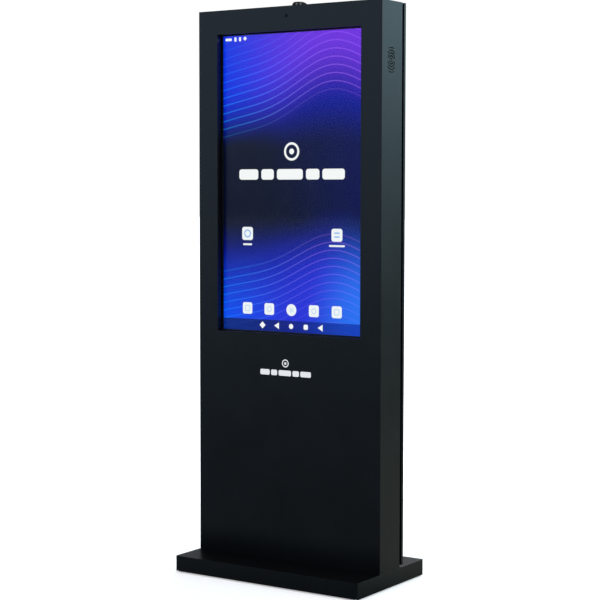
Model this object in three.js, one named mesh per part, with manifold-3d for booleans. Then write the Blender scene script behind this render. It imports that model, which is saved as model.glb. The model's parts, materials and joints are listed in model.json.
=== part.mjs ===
// Free-standing touchscreen kiosk: folded sheet-steel cabinet on a flat plinth,
// portrait 43 inch display behind an infrared touch frame, full-height rear door.
// Units are millimetres, +Z up, X to the right seen from the front, front faces -Y,
// origin on the floor under the middle of the plinth.
import * as THREE from 'three';
import { ConvexGeometry } from 'three/addons/geometries/ConvexGeometry.js';
import { mergeVertices } from 'three/addons/utils/BufferGeometryUtils.js';
import Module from 'manifold-3d';

// ---------------------------------------------------------------- driving dimensions
// An upright rectangle centred on x = 0 is { side: half width, bottom, top }.
const GAP = 0.3;              // assembly clearance between touching pieces
const SHEET = 1.5;            // cabinet and door sheet
const BASE_SHEET = 3;         // plinth sheet
const FOLD_R = 3;             // outside radius of the folded corners
const FOLD_SEGMENTS = 4;

const CAB_W = 688, CAB_H = 1750, CAB_D = 120;
const BASE_W = CAB_W, BASE_D = 400, BASE_H = 50;
const FOOT_GAP = 4;           // plinth edge above the floor
const BASE_TOP = FOOT_GAP + BASE_H;
const BASE_SIDE = BASE_W / 2, BASE_BACK = BASE_D / 2;

const CAB_TOP = BASE_TOP + CAB_H;
const CAB = { side: CAB_W / 2, bottom: BASE_TOP + GAP, top: CAB_TOP };
const CAB_FRONT = -71, CAB_REAR = CAB_FRONT + CAB_D;
const REAR_LIP = 30;          // return flange round the rear opening
const WALL_X = CAB.side - SHEET - GAP;   // outer limit of parts against the side walls

const OPEN_W = 540, OPEN_H = 950, OPEN_TOP_MARGIN = 76;
const OPEN_TOP = CAB_TOP - OPEN_TOP_MARGIN;
const OPENING = { side: OPEN_W / 2, bottom: OPEN_TOP - OPEN_H, top: OPEN_TOP };
const OPEN_RETURN = 10;       // depth of the return edge round the opening
const SCREEN_Z = (OPENING.bottom + OPENING.top) / 2;

const DOOR = { side: 343, bottom: 61, top: CAB_TOP };
const DOOR_Y0 = 62, DOOR_Y1 = 75;             // flange front edge, outer skin
const LINING_Y = DOOR_Y1 - SHEET - GAP;       // rear limit of parts against the door skin
const FRAME = { side: 330, bottom: 70, top: 1788 };
const FRAME_W = 25, FRAME_SHEET = 2, FRAME_Y1 = 66;

const CABLE_HOLE = [0, -10];                  // x, y of the floor cable hole
const CAMERA = [-2, 1773];                    // x, z
const GRILLE_Y = -16.5, GRILLE_Z = 1625.5;    // speaker grille centre on each side
const FAN_X = 110, FAN_Z = 1668;
const LOW_VENT_Z = 200;
const LOCK_X = 285;
const LOCK_Z = { upper: 1330, lower: 420 };
const HINGE_Z = { upper: 1520, lower: 344 };
const RAIL_Z = { upper: 1475, lower: 985 };
const RAIL_BACK = -2;

// ---------------------------------------------------------------- helpers
const wasm = await Module();
wasm.setup();
const group = new THREE.Group();
group.name = 'touchscreen_kiosk';

const SIDES = [-1, 1];
const SIGN_PAIRS = SIDES.flatMap(a => SIDES.map(b => [a, b]));
const radians = THREE.MathUtils.degToRad;
const span = (centre, half) => [centre - half, centre + half];
// span lo..hi on the positive side, or its mirror image on the negative side
const mirrored = (side, lo, hi) => (side > 0 ? [lo, hi] : [-hi, -lo]);
const shift = (points, da, db) => points.map(([a, b]) => [a + da, b + db]);
// four named places at x = -+side, at a front and a rear y
const fourPlaces = (side, front, rear) => ({
  front_left: [-side, front],
  front_right: [side, front],
  rear_left: [-side, rear],
  rear_right: [side, rear],
});

function toSolid(geometry) {
  geometry.deleteAttribute('normal');
  geometry.deleteAttribute('uv');
  const merged = mergeVertices(geometry, 1e-5);
  const index = merged.getIndex().array;
  const triangles = [];
  for (let i = 0; i < index.length; i += 3) {
    const [a, b, c] = index.slice(i, i + 3);
    if (a !== b && b !== c && a !== c) triangles.push(a, b, c);
  }
  return new wasm.Manifold(new wasm.Mesh({
    numProp: 3,
    vertProperties: new Float32Array(merged.getAttribute('position').array),
    triVerts: new Uint32Array(triangles),
  }));
}

function add(name, solid, finish) {
  const { vertProperties, triVerts } = solid.getMesh();
  const geometry = new THREE.BufferGeometry();
  geometry.setAttribute('position', new THREE.BufferAttribute(vertProperties, 3));
  geometry.setIndex(Array.from(triVerts));
  geometry.computeVertexNormals();
  const material = new THREE.MeshStandardMaterial({ roughness: 0.5, metalness: 0.2, ...finish });
  const mesh = new THREE.Mesh(geometry, material);
  mesh.name = name;
  group.add(mesh);
}

const union = (...solids) => solids.flat().reduce((a, b) => a.add(b));
const cut = (body, ...tools) => tools.flat().reduce((a, b) => a.subtract(b), body);

function box([x0, x1], [y0, y1], [z0, z1]) {
  const geometry = new THREE.BoxGeometry(x1 - x0, y1 - y0, z1 - z0);
  geometry.translate((x0 + x1) / 2, (y0 + y1) / 2, (z0 + z1) / 2);
  return toSolid(geometry);
}
// upright slab: a rectangle drawn in by inset, a negative inset widens it
const slab = ({ side, bottom, top }, inset, ySpan) =>
  box(span(0, side - inset), ySpan, [bottom + inset, top - inset]);

// world directions of the outline's a and b and of the sweep, by sweep axis
const BASIS = {
  z: [[1, 0, 0], [0, 1, 0], [0, 0, 1]],      // a->x b->y
  x: [[0, 1, 0], [0, 0, 1], [1, 0, 0]],      // a->y b->z
  y: [[0, 0, 1], [1, 0, 0], [0, 1, 0]],      // a->z b->x
};
const vectors2 = points => points.map(([a, b]) => new THREE.Vector2(a, b));
// outline [[a, b], ...], anticlockwise if it has holes, swept along one axis
function prism(axis, outline, [lo, hi], holes = []) {
  const shape = new THREE.Shape(vectors2(outline));
  shape.holes = holes.map(hole => new THREE.Path(vectors2(hole)));
  const geometry = new THREE.ExtrudeGeometry(shape, { depth: hi - lo, bevelEnabled: false });
  geometry.translate(0, 0, lo);
  const basis = BASIS[axis].map(v => new THREE.Vector3(...v));
  geometry.applyMatrix4(new THREE.Matrix4().makeBasis(...basis));
  return toSolid(geometry);
}

// angles in degrees from +a towards +b
function arc(a, b, radius, from, to, segments) {
  return Array.from({ length: segments + 1 }, (_, i) => {
    const angle = radians(from + (to - from) * i / segments);
    return [a + radius * Math.cos(angle), b + radius * Math.sin(angle)];
  });
}
const circle = (a, b, radius, segments) => arc(a, b, radius, 0, 360, segments).slice(0, -1);
// rounded rectangle centred at (a, b), width along a and height along b
function roundRect(a, b, width, height, radius, segments = 3) {
  const da = width / 2 - radius, db = height / 2 - radius;
  return [[da, db], [-da, db], [-da, -db], [da, -db]].flatMap(([p, q], i) =>
    arc(a + p, b + q, radius, i * 90, (i + 1) * 90, segments));
}

// lathe of [radius, height] pairs, anticlockwise, about a z axis through [x, y]
// or a y axis through [x, z]
function turn(axis, at, profile, segments = 16) {
  const geometry = new THREE.LatheGeometry(vectors2(profile), segments);
  if (axis === 'z') {
    geometry.rotateX(Math.PI / 2);
    geometry.translate(at[0], at[1], 0);
  } else {
    geometry.translate(at[0], 0, at[1]);
  }
  return toSolid(geometry);
}
const rod = (axis, at, radius, [lo, hi], segments) =>
  turn(axis, at, [[0, lo], [radius, lo], [radius, hi], [0, hi]], segments);

function cable(path, radius, steps) {
  const points = path.map(p => new THREE.Vector3(...p));
  const extrudePath = new THREE.CatmullRomCurve3(points, false, 'centripetal');
  const section = new THREE.Shape(vectors2(circle(0, 0, radius, 6)));
  return toSolid(new THREE.ExtrudeGeometry(section, { steps, extrudePath, bevelEnabled: false }));
}

// ---------------------------------------------------------------- plinth
const FEET = fourPlaces(300, -160, 160);
const BOLTS = fourPlaces(300, -45, 25);
const SOCKET_Z = 29;
const SOCKET_FLANGE_Y = BASE_BACK - BASE_SHEET - GAP;   // rear face of the flanges
const SOCKET_FACE_Y = BASE_BACK - 0.6;
// half: body half width and half height; clearance: to the skirt cut-out;
// front: inner end of the body; flange: width, height, corner radius, thickness
const INLET = { x: -170, half: [23.6, 13.6], clearance: 0.4, front: 168, flange: [62, 31, 5, 2.6] };
const SWITCH = { x: -110, half: [11, 7], clearance: 0.3, front: 176, flange: [27, 18, 2, 1.8] };
const LAN = { x: -70, half: [8.5, 8.5], clearance: 0.3, front: 170, flange: [21, 21, 1.5, 1.8] };

// bolt and cable holes through the plinth top and the cabinet floor
const floorHoles = () => [
  ...Object.values(BOLTS).map(at => rod('z', at, 4.3, [40, 70], 12)),
  rod('z', CABLE_HOLE, 20, [40, 70], 20),
];

function plinth() {
  const underside = BASE_TOP - BASE_SHEET;
  let solid = cut(
    prism('z', roundRect(0, 0, BASE_W, BASE_D, FOLD_R), [FOOT_GAP, BASE_TOP]),
    box(span(0, BASE_SIDE - BASE_SHEET), span(0, BASE_BACK - BASE_SHEET),
      [FOOT_GAP - 1, underside]));
  // folded-in return flanges along the lower edge, stopping short of the corners
  const flange = 18, stop = 10, flangeZ = [FOOT_GAP, FOOT_GAP + 2];
  for (const side of SIDES) {
    solid = union(solid,
      box(span(0, BASE_SIDE - stop), mirrored(side, BASE_BACK - flange, BASE_BACK - 1), flangeZ),
      box(mirrored(side, BASE_SIDE - flange, BASE_SIDE - 1),
        span(0, BASE_BACK - stop - flange), flangeZ));
  }
  // bend reliefs beside each lower corner of the front and rear skirts
  const reliefs = SIGN_PAIRS.map(([sx, sy]) => box(
    span(sx * (BASE_SIDE - 6.5), 2.5), span(sy * BASE_BACK, 5), [FOOT_GAP - 1, FOOT_GAP + 4]));
  // welded bosses for the levelling feet
  const feet = Object.values(FEET);
  solid = union(cut(solid, reliefs), feet.map(at => rod('z', at, 14, [18, underside + 0.5])));
  const socketHoles = [INLET, SWITCH, LAN].map(({ x, half: [width, height], clearance }) => box(
    span(x, width + clearance), span(BASE_BACK, 10), span(SOCKET_Z, height + clearance)));
  return cut(solid, feet.map(at => rod('z', at, 5.05, [10, 50])), floorHoles(), socketHoles);
}
add('base_plinth', plinth(), { color: 0x16181a });

const BALLAST_TOP = BASE_TOP - BASE_SHEET - GAP;
add('base_ballast_plate', prism('z', roundRect(0, 0, 540, 250, 6),
  [BALLAST_TOP - 10, BALLAST_TOP], [circle(...CABLE_HOLE, 32, 16)]),
{ color: 0x4a4c4e, metalness: 0.8 });

const FOOT_PROFILE = [
  [0, 0], [18.5, 0], [20, 1.2], [20, 4.5], [9, 7.5],
  [9, 12], [5, 12], [5, 47], [4, 48], [0, 48],
];
for (const [place, at] of Object.entries(FEET)) {
  add('levelling_foot_' + place, turn('z', at, FOOT_PROFILE), { color: 0x202224 });
}

// hexagon-headed bolts standing on the cabinet floor
for (const [place, at] of Object.entries(BOLTS)) {
  const floor = CAB.bottom + SHEET, seat = floor + GAP;
  add('base_bolt_' + place, union(
    prism('z', circle(...at, 7.5, 6), [seat, seat + 5.3]),
    rod('z', at, 4, [42, floor + 1], 12)), { color: 0x8d9094, metalness: 0.9 });
}

add('cable_grommet', turn('z', CABLE_HOLE, [
  [14, 48], [19.6, 48], [19.6, BASE_TOP + 2.2], [25, BASE_TOP + 2.2],
  [25, BASE_TOP + 4.6], [23.5, BASE_TOP + 6], [14, BASE_TOP + 6], [14, 48],
], 20), { color: 0x101112 });

// mains inlet, rocker switch and network coupler: flanges behind the rear skirt,
// faces standing in its cut-outs just inside the outer surface
function socketBody({ x, half, front, flange: [width, height, radius, thickness] }) {
  return union(
    box(span(x, half[0]), [front, SOCKET_FACE_Y], span(SOCKET_Z, half[1])),
    prism('y', roundRect(SOCKET_Z, x, height, width, radius),
      [SOCKET_FLANGE_Y - thickness, SOCKET_FLANGE_Y]));
}
const recessY = depth => [SOCKET_FACE_Y - depth, SOCKET_FACE_Y + 4];

function powerInlet() {
  // z, x from the socket centre
  const recess = [[-8.5, -12.5], [3.5, -12.5], [8.5, -8], [8.5, 8], [3.5, 12.5], [-8.5, 12.5]];
  const pins = [[-7, -2.5], [7, -2.5], [0, 3]].map(([dx, dz]) => box(span(INLET.x + dx, 1),
    [SOCKET_FACE_Y - 17.5, SOCKET_FACE_Y - 2], span(SOCKET_Z + dz, 3)));
  const flangeHoles = SIDES.map(side => rod('y', [INLET.x + side * 27.5, SOCKET_Z], 1.7,
    [SOCKET_FLANGE_Y - 5, SOCKET_FLANGE_Y + 4], 8));
  const body = cut(socketBody(INLET), prism('y', shift(recess, SOCKET_Z, INLET.x), recessY(17)));
  return cut(union(body, pins), flangeHoles);
}
add('power_inlet', powerInlet(), { color: 0x0d0e0f });
add('switch_housing', cut(socketBody(SWITCH),
  box(span(SWITCH.x, 10), recessY(12), span(SOCKET_Z, 5.8))), { color: 0x0c0d0e });

// rocker: shallow V face, tipped to its off side at rest
function rocker() {
  const pivotY = 193.6, tilt = radians(8);
  // x, y from the pivot before tipping
  const outline = [
    [-9, -0.5], [-9, 4.4], [0, 2.8], [9, 4.4], [9, -0.5], [4.5, -5.2], [-4.5, -5.2],
  ];
  const tipped = outline.map(([x, y]) => [
    x * Math.cos(tilt) - y * Math.sin(tilt),
    x * Math.sin(tilt) + y * Math.cos(tilt),
  ]);
  return prism('z', shift(tipped, SWITCH.x, pivotY), span(SOCKET_Z, 5.4));
}
add('power_rocker', rocker(), { color: 0x1a1b1d });
add('network_socket', cut(socketBody(LAN),
  box(span(LAN.x, 5.9), recessY(12), span(SOCKET_Z, 4)),
  box(span(LAN.x, 3), recessY(12), [SOCKET_Z - 6.4, SOCKET_Z])), { color: 0x121315 });

// ---------------------------------------------------------------- cabinet front shell
// Concentric slotted rings trimmed to an upright oval: radius, start angle, segments.
// Each slot ends at 180 less its start and is repeated half a turn round.
const GRILLE_RINGS = [[4.2, 24, 5], [12.5, 14, 7], [20.8, 12, 8], [29.1, 43, 5], [37.4, 67, 3]];
const GRILLE_SLOT = 3.8;

function grilleSlots(side) {
  return GRILLE_RINGS.flatMap(([radius, start, segments]) => [0, 180].map(turned => {
    const from = start + turned, to = 180 - start + turned;
    return prism('x', [
      ...arc(GRILLE_Y, GRILLE_Z, radius + GRILLE_SLOT / 2, from, to, segments),
      ...arc(GRILLE_Y, GRILLE_Z, radius - GRILLE_SLOT / 2, to, from, segments),
    ], span(side * CAB.side, 5));
  }));
}

function frontShell() {
  const cornerX = CAB.side - FOLD_R, cornerY = CAB_FRONT + FOLD_R;
  const plan = [
    ...arc(-cornerX, cornerY, FOLD_R, 180, 270, FOLD_SEGMENTS),
    ...arc(cornerX, cornerY, FOLD_R, 270, 360, FOLD_SEGMENTS),
    [CAB.side, CAB_REAR],
    [-CAB.side, CAB_REAR],
  ];
  const hollow = cut(prism('z', plan, [CAB.bottom, CAB.top]),
    slab(CAB, SHEET, [CAB_FRONT + SHEET, CAB_REAR - SHEET]),
    slab(CAB, REAR_LIP, span(CAB_REAR, 5)));
  // display opening with its return edge
  const edge = slab(OPENING, -SHEET, [CAB_FRONT + 0.5, CAB_FRONT + OPEN_RETURN]);
  return cut(union(hollow, edge),
    slab(OPENING, 0, [CAB_FRONT - 5, CAB_FRONT + 20]),
    SIDES.flatMap(grilleSlots),
    rod('y', CAMERA, 6, span(CAB_FRONT, 5), 24),
    rod('y', [10, 1780], 1.2, span(CAB_FRONT, 5), 8),     // pinhole beside the camera
    rod('z', [0, 0], 6.4, span(CAB_TOP, 10)),             // antenna stem
    floorHoles());
}
add('front_shell', frontShell(), { color: 0x23272a });

// black frame that carries the door, set in from the sides to leave a shadow gap
const FRAME_Y0 = CAB_REAR + GAP;
add('rear_frame', cut(slab(FRAME, 0, [FRAME_Y0, FRAME_Y1]),
  slab(FRAME, FRAME_SHEET, [FRAME_Y0 - 5, FRAME_Y1 - FRAME_SHEET]),
  slab(FRAME, FRAME_W, [FRAME_Y0, FRAME_Y1 + 5])), { color: 0x0c0d0e });
add('door_gasket', cut(slab(FRAME, 2, [FRAME_Y1 + GAP, LINING_Y]),
  slab(FRAME, 14, [FRAME_Y1 - 1, DOOR_Y1 + 1])), { color: 0x08090a });

// ---------------------------------------------------------------- rear door
function rearDoor() {
  const cornerX = DOOR.side - FOLD_R, cornerY = DOOR_Y1 - FOLD_R;
  const plan = [
    [-DOOR.side, DOOR_Y0],
    [DOOR.side, DOOR_Y0],
    ...arc(cornerX, cornerY, FOLD_R, 0, 90, FOLD_SEGMENTS),
    ...arc(-cornerX, cornerY, FOLD_R, 90, 180, FOLD_SEGMENTS),
  ];
  let door = cut(prism('z', plan, [DOOR.bottom, DOOR.top]),
    slab(DOOR, SHEET, [DOOR_Y0 - 5, DOOR_Y1 - SHEET]));
  // round-ended upright ventilation slots, two fields behind the fans and two low down
  const length = 96, width = 5, endRadius = 2.49, pitch = 12;
  const through = [DOOR_Y0, DOOR_Y1 + 5];
  for (const z of [FAN_Z, LOW_VENT_Z]) {
    for (const side of SIDES) {
      for (let i = -4; i <= 4; i++) {
        const slot = roundRect(z, side * FAN_X + i * pitch, length, width, endRadius, 1);
        door = cut(door, prism('y', slot, through));
      }
    }
  }
  return cut(door, Object.values(LOCK_Z).map(z => rod('y', [LOCK_X, z], 9.8, through, 20)));
}
add('rear_door', rearDoor(), { color: 0x1d2022 });

// hat-section stiffener across the inside of the door: y, z
const STIFFENER = [
  [72.2, 645], [72.2, 670], [64, 675], [64, 705], [72.2, 710], [72.2, 735],
  [LINING_Y, 735], [LINING_Y, 709.2], [65.2, 704], [65.2, 676], [LINING_Y, 670.8], [LINING_Y, 645],
];
add('door_stiffener', prism('x', STIFFENER, span(0, 290)), { color: 0x1a1c1e });
// foam dust filter in front of the low ventilation slots
add('intake_filter', box(span(0, 176), [66.5, LINING_Y], span(LOW_VENT_Z, 60)),
  { color: 0x2a2c2e });

const HINGE = [-336, 58];     // x, y of the hinge axis
const KNUCKLE_R = 4, PIN_R = 2.5;
const HINGE_HALF = 40, KNUCKLE_HALF = 13;     // half heights of leaf and middle knuckle

function addHinge(level) {
  const z = HINGE_Z[level], bottom = z - HINGE_HALF, top = z + HINGE_HALF;
  const steel = { color: 0x9a9da0, metalness: 0.9 };
  const bore = rod('z', HINGE, PIN_R + 0.05, [bottom - 5, top + 5]);
  const clearance = zSpan => rod('z', HINGE, KNUCKLE_R + 0.5, zSpan);
  const fixedX = -FRAME.side - GAP;
  const fixed = union(box([fixedX - 2.3, fixedX], [51, 65.5], [bottom, top]),
    rod('z', HINGE, KNUCKLE_R, [bottom, top]));
  add(`hinge_${level}_fixed_leaf`, cut(fixed, clearance(span(z, KNUCKLE_HALF + 0.4)), bore), steel);

  const movingX = -DOOR.side + SHEET + GAP;
  const moving = cut(box([movingX, movingX + 1.8], [HINGE[1], 72.4], [bottom, top]),
    clearance([bottom - 5, z - KNUCKLE_HALF]),
    clearance([z + KNUCKLE_HALF, top + 5]));
  const knuckle = rod('z', HINGE, KNUCKLE_R, span(z, KNUCKLE_HALF));
  add(`hinge_${level}_moving_leaf`, cut(union(moving, knuckle), bore), steel);

  add(`hinge_${level}_pin`, turn('z', HINGE, [
    [0, bottom - 2], [PIN_R, bottom - 2], [PIN_R, top + GAP],
    [PIN_R + 1, top + GAP], [PIN_R + 1, top + 2.3], [0, top + 2.3],
  ]), { color: 0xb4b7ba, metalness: 0.9 });
}

// z, x from the lock axis
const CAM_OUTLINE = [[8, 5], [5, 8], [-33, 8], [-37, 5], [-37, -5], [-33, -8], [5, -8], [8, -5]];

// cam lock: body fixed in the door, key plug and cam turn together
function addLock(level) {
  const z = LOCK_Z[level], at = [LOCK_X, z], skin = DOOR_Y1;
  add(`cam_lock_${level}_body`, turn('y', at, [
    [6.5, 62.5], [9.5, 62.5], [9.5, skin + GAP], [11.5, skin + GAP],
    [11.5, skin + 1.6], [10.3, skin + 2.8], [6.5, skin + 2.8], [6.5, 62.5],
  ], 20), { color: 0xc2c4c6, metalness: 1 });
  const plug = union(rod('y', at, 6.36, [62.2, skin + 3], 20),
    box(span(LOCK_X, 3.5), [56.5, 63], span(z, 3.5)));
  const keySlot = box(span(LOCK_X, 0.7), [skin - 2, skin + 5], span(z, 3.6));
  add(`cam_lock_${level}_plug`, cut(plug, keySlot), { color: 0xd0d2d4, metalness: 1 });
  add(`cam_lock_${level}_cam`, cut(prism('y', shift(CAM_OUTLINE, z, LOCK_X), [58, 60.5]),
    box(span(LOCK_X, 3.6), [57, 62], span(z, 3.6))), { color: 0xa4a6a8, metalness: 1 });
}
for (const level of ['upper', 'lower']) {
  addHinge(level);
  addLock(level);
}

// ---------------------------------------------------------------- touch frame and display
const centredOnScreen = (width, height) =>
  ({ side: width / 2, bottom: SCREEN_Z - height / 2, top: SCREEN_Z + height / 2 });
const ACTIVE = centredOnScreen(529.2, 940.9);     // 43 inch 16:9 panel, portrait
const PANEL = centredOnScreen(560, 967);
const TOUCH = { side: 287, bottom: OPENING.bottom - 16, top: OPENING.top + 16 };
const TOUCH_Y = CAB_FRONT + OPEN_RETURN + GAP;
const GLASS_Y0 = TOUCH_Y + 10 + GAP, GLASS_Y1 = GLASS_Y0 + 4;
const PANEL_Y = GLASS_Y1 + GAP;                   // front of the display module
const TRAY_BACK = -20;

add('ir_touch_frame', cut(slab(TOUCH, 0, [TOUCH_Y, TOUCH_Y + 10]),
  slab(OPENING, -1, [TOUCH_Y - 5, TOUCH_Y + 15])), { color: 0x050506 });
add('touch_glass', slab(TOUCH, 0, [GLASS_Y0, GLASS_Y1]), { color: 0x9fb0b4 });
add('lcd_bezel_frame', cut(slab(PANEL, 0, [PANEL_Y, PANEL_Y + 13]),
  slab(PANEL, 1.2, [PANEL_Y + 1.2, PANEL_Y + 20]),
  slab(ACTIVE, -0.6, span(PANEL_Y, 5))), { color: 0x111214 });
add('lcd_cell', slab(PANEL, 3, [PANEL_Y + 1.5, PANEL_Y + 3.3]), { color: 0x0b0f1c });
add('diffuser_plate', slab(PANEL, 5, [PANEL_Y + 3.6, PANEL_Y + 8]), { color: 0xe8ebee });
add('backlight_tray', cut(slab(PANEL, 1.5, [PANEL_Y + 3.6, TRAY_BACK]),
  slab(PANEL, 3.5, [PANEL_Y, TRAY_BACK - 1.5])), { color: 0x85898d, metalness: 0.8 });

// channel open to the front, with end plates against the side walls
function displayRail(z) {
  const channel = cut(box(span(0, WALL_X), [TRAY_BACK + GAP, RAIL_BACK], span(z, 25)),
    box(span(0, CAB.side), [-25, RAIL_BACK - 2], span(z, 23)));
  return union(channel,
    SIDES.map(side => box(mirrored(side, WALL_X - 2, WALL_X), [-36, RAIL_BACK], span(z, 25))));
}
for (const [level, z] of Object.entries(RAIL_Z)) {
  add('display_rail_' + level, displayRail(z), { color: 0x6f7478, metalness: 0.8 });
}

// ---------------------------------------------------------------- electronics
const PLATE_BACK = 0.3, MOUNT_Y = PLATE_BACK + GAP;   // front of the parts on the plate
add('electronics_plate', cut(box(span(0, 225), [RAIL_BACK + GAP, PLATE_BACK], [955, 1505]),
  box(span(0, 60), span(0, 5), [1190, 1250])), { color: 0x7c8084, metalness: 0.8 });

// power supply with an open terminal end and a screw terminal strip
add('power_supply', union(
  cut(box([-195, -85], [MOUNT_Y, MOUNT_Y + 38], [1020, 1235]),
    box([-187, -93], [20, 45], [1010, 1040])),
  box([-180, -100], [19, 32], [1024, 1036])), { color: 0xb9bcc0, metalness: 0.8 });

// sockets in the lower end of the media player: x0, x1, y0, y1, z of the inner end
const PLAYER_SOCKETS = [
  [0, 16, 8, 22, 1052], [30, 46, 8, 22, 1052], [58, 82, 8, 24, 1053], [110, 140, 10, 18, 1052],
];
add('media_player', cut(prism('z', roundRect(70, 16, 200, 30.8, 2), [1050, 1180]),
  PLAYER_SOCKETS.map(([x0, x1, y0, y1, z]) => box([x0, x1], [y0, y1], [1045, z]))),
{ color: 0x1b1d20 });

// components on the driver board: x0, x1, rear y, z0, z1
const BOARD_PARTS = [
  [-30, 10, 22, 1330, 1370], [-80, -50, 20, 1294, 1312], [-10, 40, 17, 1396, 1408],
  [40, 80, 24, 1300, 1322], [-80, -62, 28, 1340, 1385],
];
const BOARD_Z = 1350;
add('driver_board', union(
  box(span(0, 90), [8, 9.6], span(BOARD_Z, 60)),
  SIGN_PAIRS.map(([sx, sz]) => rod('y', [sx * 84, BOARD_Z + sz * 54], 3, [MOUNT_Y, 8.5], 8)),
  BOARD_PARTS.map(([x0, x1, y1, z0, z1]) => box([x0, x1], [9, y1], [z0, z1]))),
{ color: 0x1d5c3a });

// flat cable over the top of the plate and down to the back of the panel: y, z
const DISPLAY_CABLE = [
  [12.4, 1408.3], [13.6, 1408.3], [13.6, 1452], [10, 1500], [4, 1516], [-8, 1519], [-15, 1512],
  [-19.7, 1508], [-19.7, 1506], [-14.2, 1509.8], [-7.4, 1517], [3.2, 1514.4], [8.8, 1499.6],
  [12.4, 1452],
];
add('display_cable', prism('x', DISPLAY_CABLE, [2, 28]), { color: 0x2c2e33 });

// round cable routes: x, y, z
const MAINS_PATH = [
  [INLET.x, 167.5, 26], [INLET.x, 157, 25], [-150, 120, 25], [-70, 20, 25], [-14, -8, 26],
  [-6.5, -10, 40], [-6.5, -10, 56], [-6.5, -10, 90], [-20, -6, 240], [-60, 18, 620],
  [-110, 28, 880], [-137, 29, 985], [-138, 29, 1023.5],
];
const ANTENNA_PATH = [
  [0, 0, CAB_TOP - 20.4], [0, 0, 1772], [8, 4, 1740], [36, 10, 1690], [80, 13, 1600],
  [104, 14, 1500], [106, 14, 1300], [106, 16, 1215], [106, 16, 1180.4],
];
const NETWORK_PATH = [
  [LAN.x, 169.5, 29], [LAN.x, 157, 27], [-55, 110, 24], [-10, 30, 24], [8, -4, 26],
  [7.5, -10, 40], [7.5, -10, 56], [7.5, -10, 90], [14, -6, 240], [48, 14, 620],
  [72, 18, 880], [70, 17, 990], [70, 16, 1052.5],
];
add('mains_cable', cable(MAINS_PATH, 3.8, 36), { color: 0x0a0a0b });
add('antenna_cable', cable(ANTENNA_PATH, 1.6, 26), { color: 0x141516 });
add('network_cable', cable(NETWORK_PATH, 2.8, 36), { color: 0x1d2a3d });

// ---------------------------------------------------------------- speakers
// cone along x between two distances from the middle, with its radius at each
function ovalCone(side, [inner, outer], [innerR, outerR], yScale, zScale) {
  const [x0, x1] = mirrored(side, inner, outer);
  const [r0, r1] = side > 0 ? [innerR, outerR] : [outerR, innerR];
  const geometry = new THREE.CylinderGeometry(r1, r0, x1 - x0, 24);
  geometry.rotateZ(-Math.PI / 2);
  geometry.scale(1, yScale, zScale);
  geometry.translate((x0 + x1) / 2, GRILLE_Y, GRILLE_Z);
  return toSolid(geometry);
}
// flange on the wall, oval basket tapering to the magnet, hollow cone
function speaker(side) {
  const flange = roundRect(GRILLE_Y, GRILLE_Z, 48, 84, 12, 4);
  return cut(
    union(
      prism('x', flange, mirrored(side, WALL_X - 1.6, WALL_X)),
      ovalCone(side, [WALL_X - 20, WALL_X - 1], [13, 20], 1, 1.85),
      ovalCone(side, [WALL_X - 30, WALL_X - 19], [16, 16], 1, 1)),
    ovalCone(side, [WALL_X - 15, WALL_X + 0.5], [6, 19], 0.94, 1.8));
}
add('speaker_left', speaker(-1), { color: 0x151618 });
add('speaker_right', speaker(1), { color: 0x151618 });

// ---------------------------------------------------------------- fans on their bracket
const BRACKET_Y = 60.5;
const FAN_SIZE = 120, FAN_T = 25, FAN_HUB_R = 20;
const FAN_Y1 = BRACKET_Y - GAP, FAN_Y0 = FAN_Y1 - FAN_T;
const BLADES = 7, BLADE_PITCH = 0.62;   // pitch in radians

add('fan_bracket', cut(
  box(span(0, FRAME.side - FRAME_SHEET - GAP), [BRACKET_Y, BRACKET_Y + 1.5], span(FAN_Z, 68)),
  SIDES.map(side => rod('y', [side * FAN_X, FAN_Z], 57, [55, 70], 24))),
{ color: 0x6f7478, metalness: 0.8 });

// box of a given size, pitched about its length, set out from the fan axis at x
function spoke(x, size, pitch, radius, y, angle) {
  const geometry = new THREE.BoxGeometry(...size);
  geometry.rotateX(pitch);
  geometry.translate(radius, y, 0);
  geometry.rotateY(angle);
  geometry.translate(x, 0, FAN_Z);
  return toSolid(geometry);
}
function fanFrame(x) {
  let frame = prism('y', roundRect(FAN_Z, x, FAN_SIZE, FAN_SIZE, 7, 2), [FAN_Y0, FAN_Y1],
    [circle(FAN_Z, x, 58, 24)]);
  frame = cut(frame, SIGN_PAIRS.map(([sx, sz]) =>
    rod('y', [x + sx * 52.5, FAN_Z + sz * 52.5], 2.2, [FAN_Y0 - 1, FAN_Y1 + 1], 8)));
  frame = union(frame, rod('y', [x, FAN_Z], FAN_HUB_R, [FAN_Y0, FAN_Y0 + 3], 20));
  for (let i = 0; i < 4; i++) {
    const angle = Math.PI / 4 + i * Math.PI / 2;
    frame = union(frame, spoke(x, [42, 3, 5], 0, 39, FAN_Y0 + 1.5, angle));
  }
  return frame;
}
function fanRotor(x) {
  const at = [x, FAN_Z], y0 = FAN_Y0 + 3.5;
  let rotor = rod('y', at, FAN_HUB_R, [y0, FAN_Y1 - 1.2], 20);
  for (let i = 0; i < BLADES; i++) {
    const angle = i * 2 * Math.PI / BLADES;
    rotor = union(rotor, spoke(x, [38, 1.8, 24], BLADE_PITCH, 36, FAN_Y0 + 13.5, angle));
  }
  return rotor.intersect(rod('y', at, 56, [y0, FAN_Y1 - 1], 28));
}
for (const [name, x] of [['left', -FAN_X], ['right', FAN_X]]) {
  add(`fan_${name}_frame`, fanFrame(x), { color: 0x141517 });
  add(`fan_${name}_rotor`, fanRotor(x), { color: 0x1e2022 });
}

// ---------------------------------------------------------------- camera and roof antenna
const SKIN_Y = CAB_FRONT + SHEET;       // inside of the front skin
add('camera_window', rod('y', CAMERA, 9, [SKIN_Y + GAP, SKIN_Y + GAP + 1], 24),
  { color: 0x0b0c0e });

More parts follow.
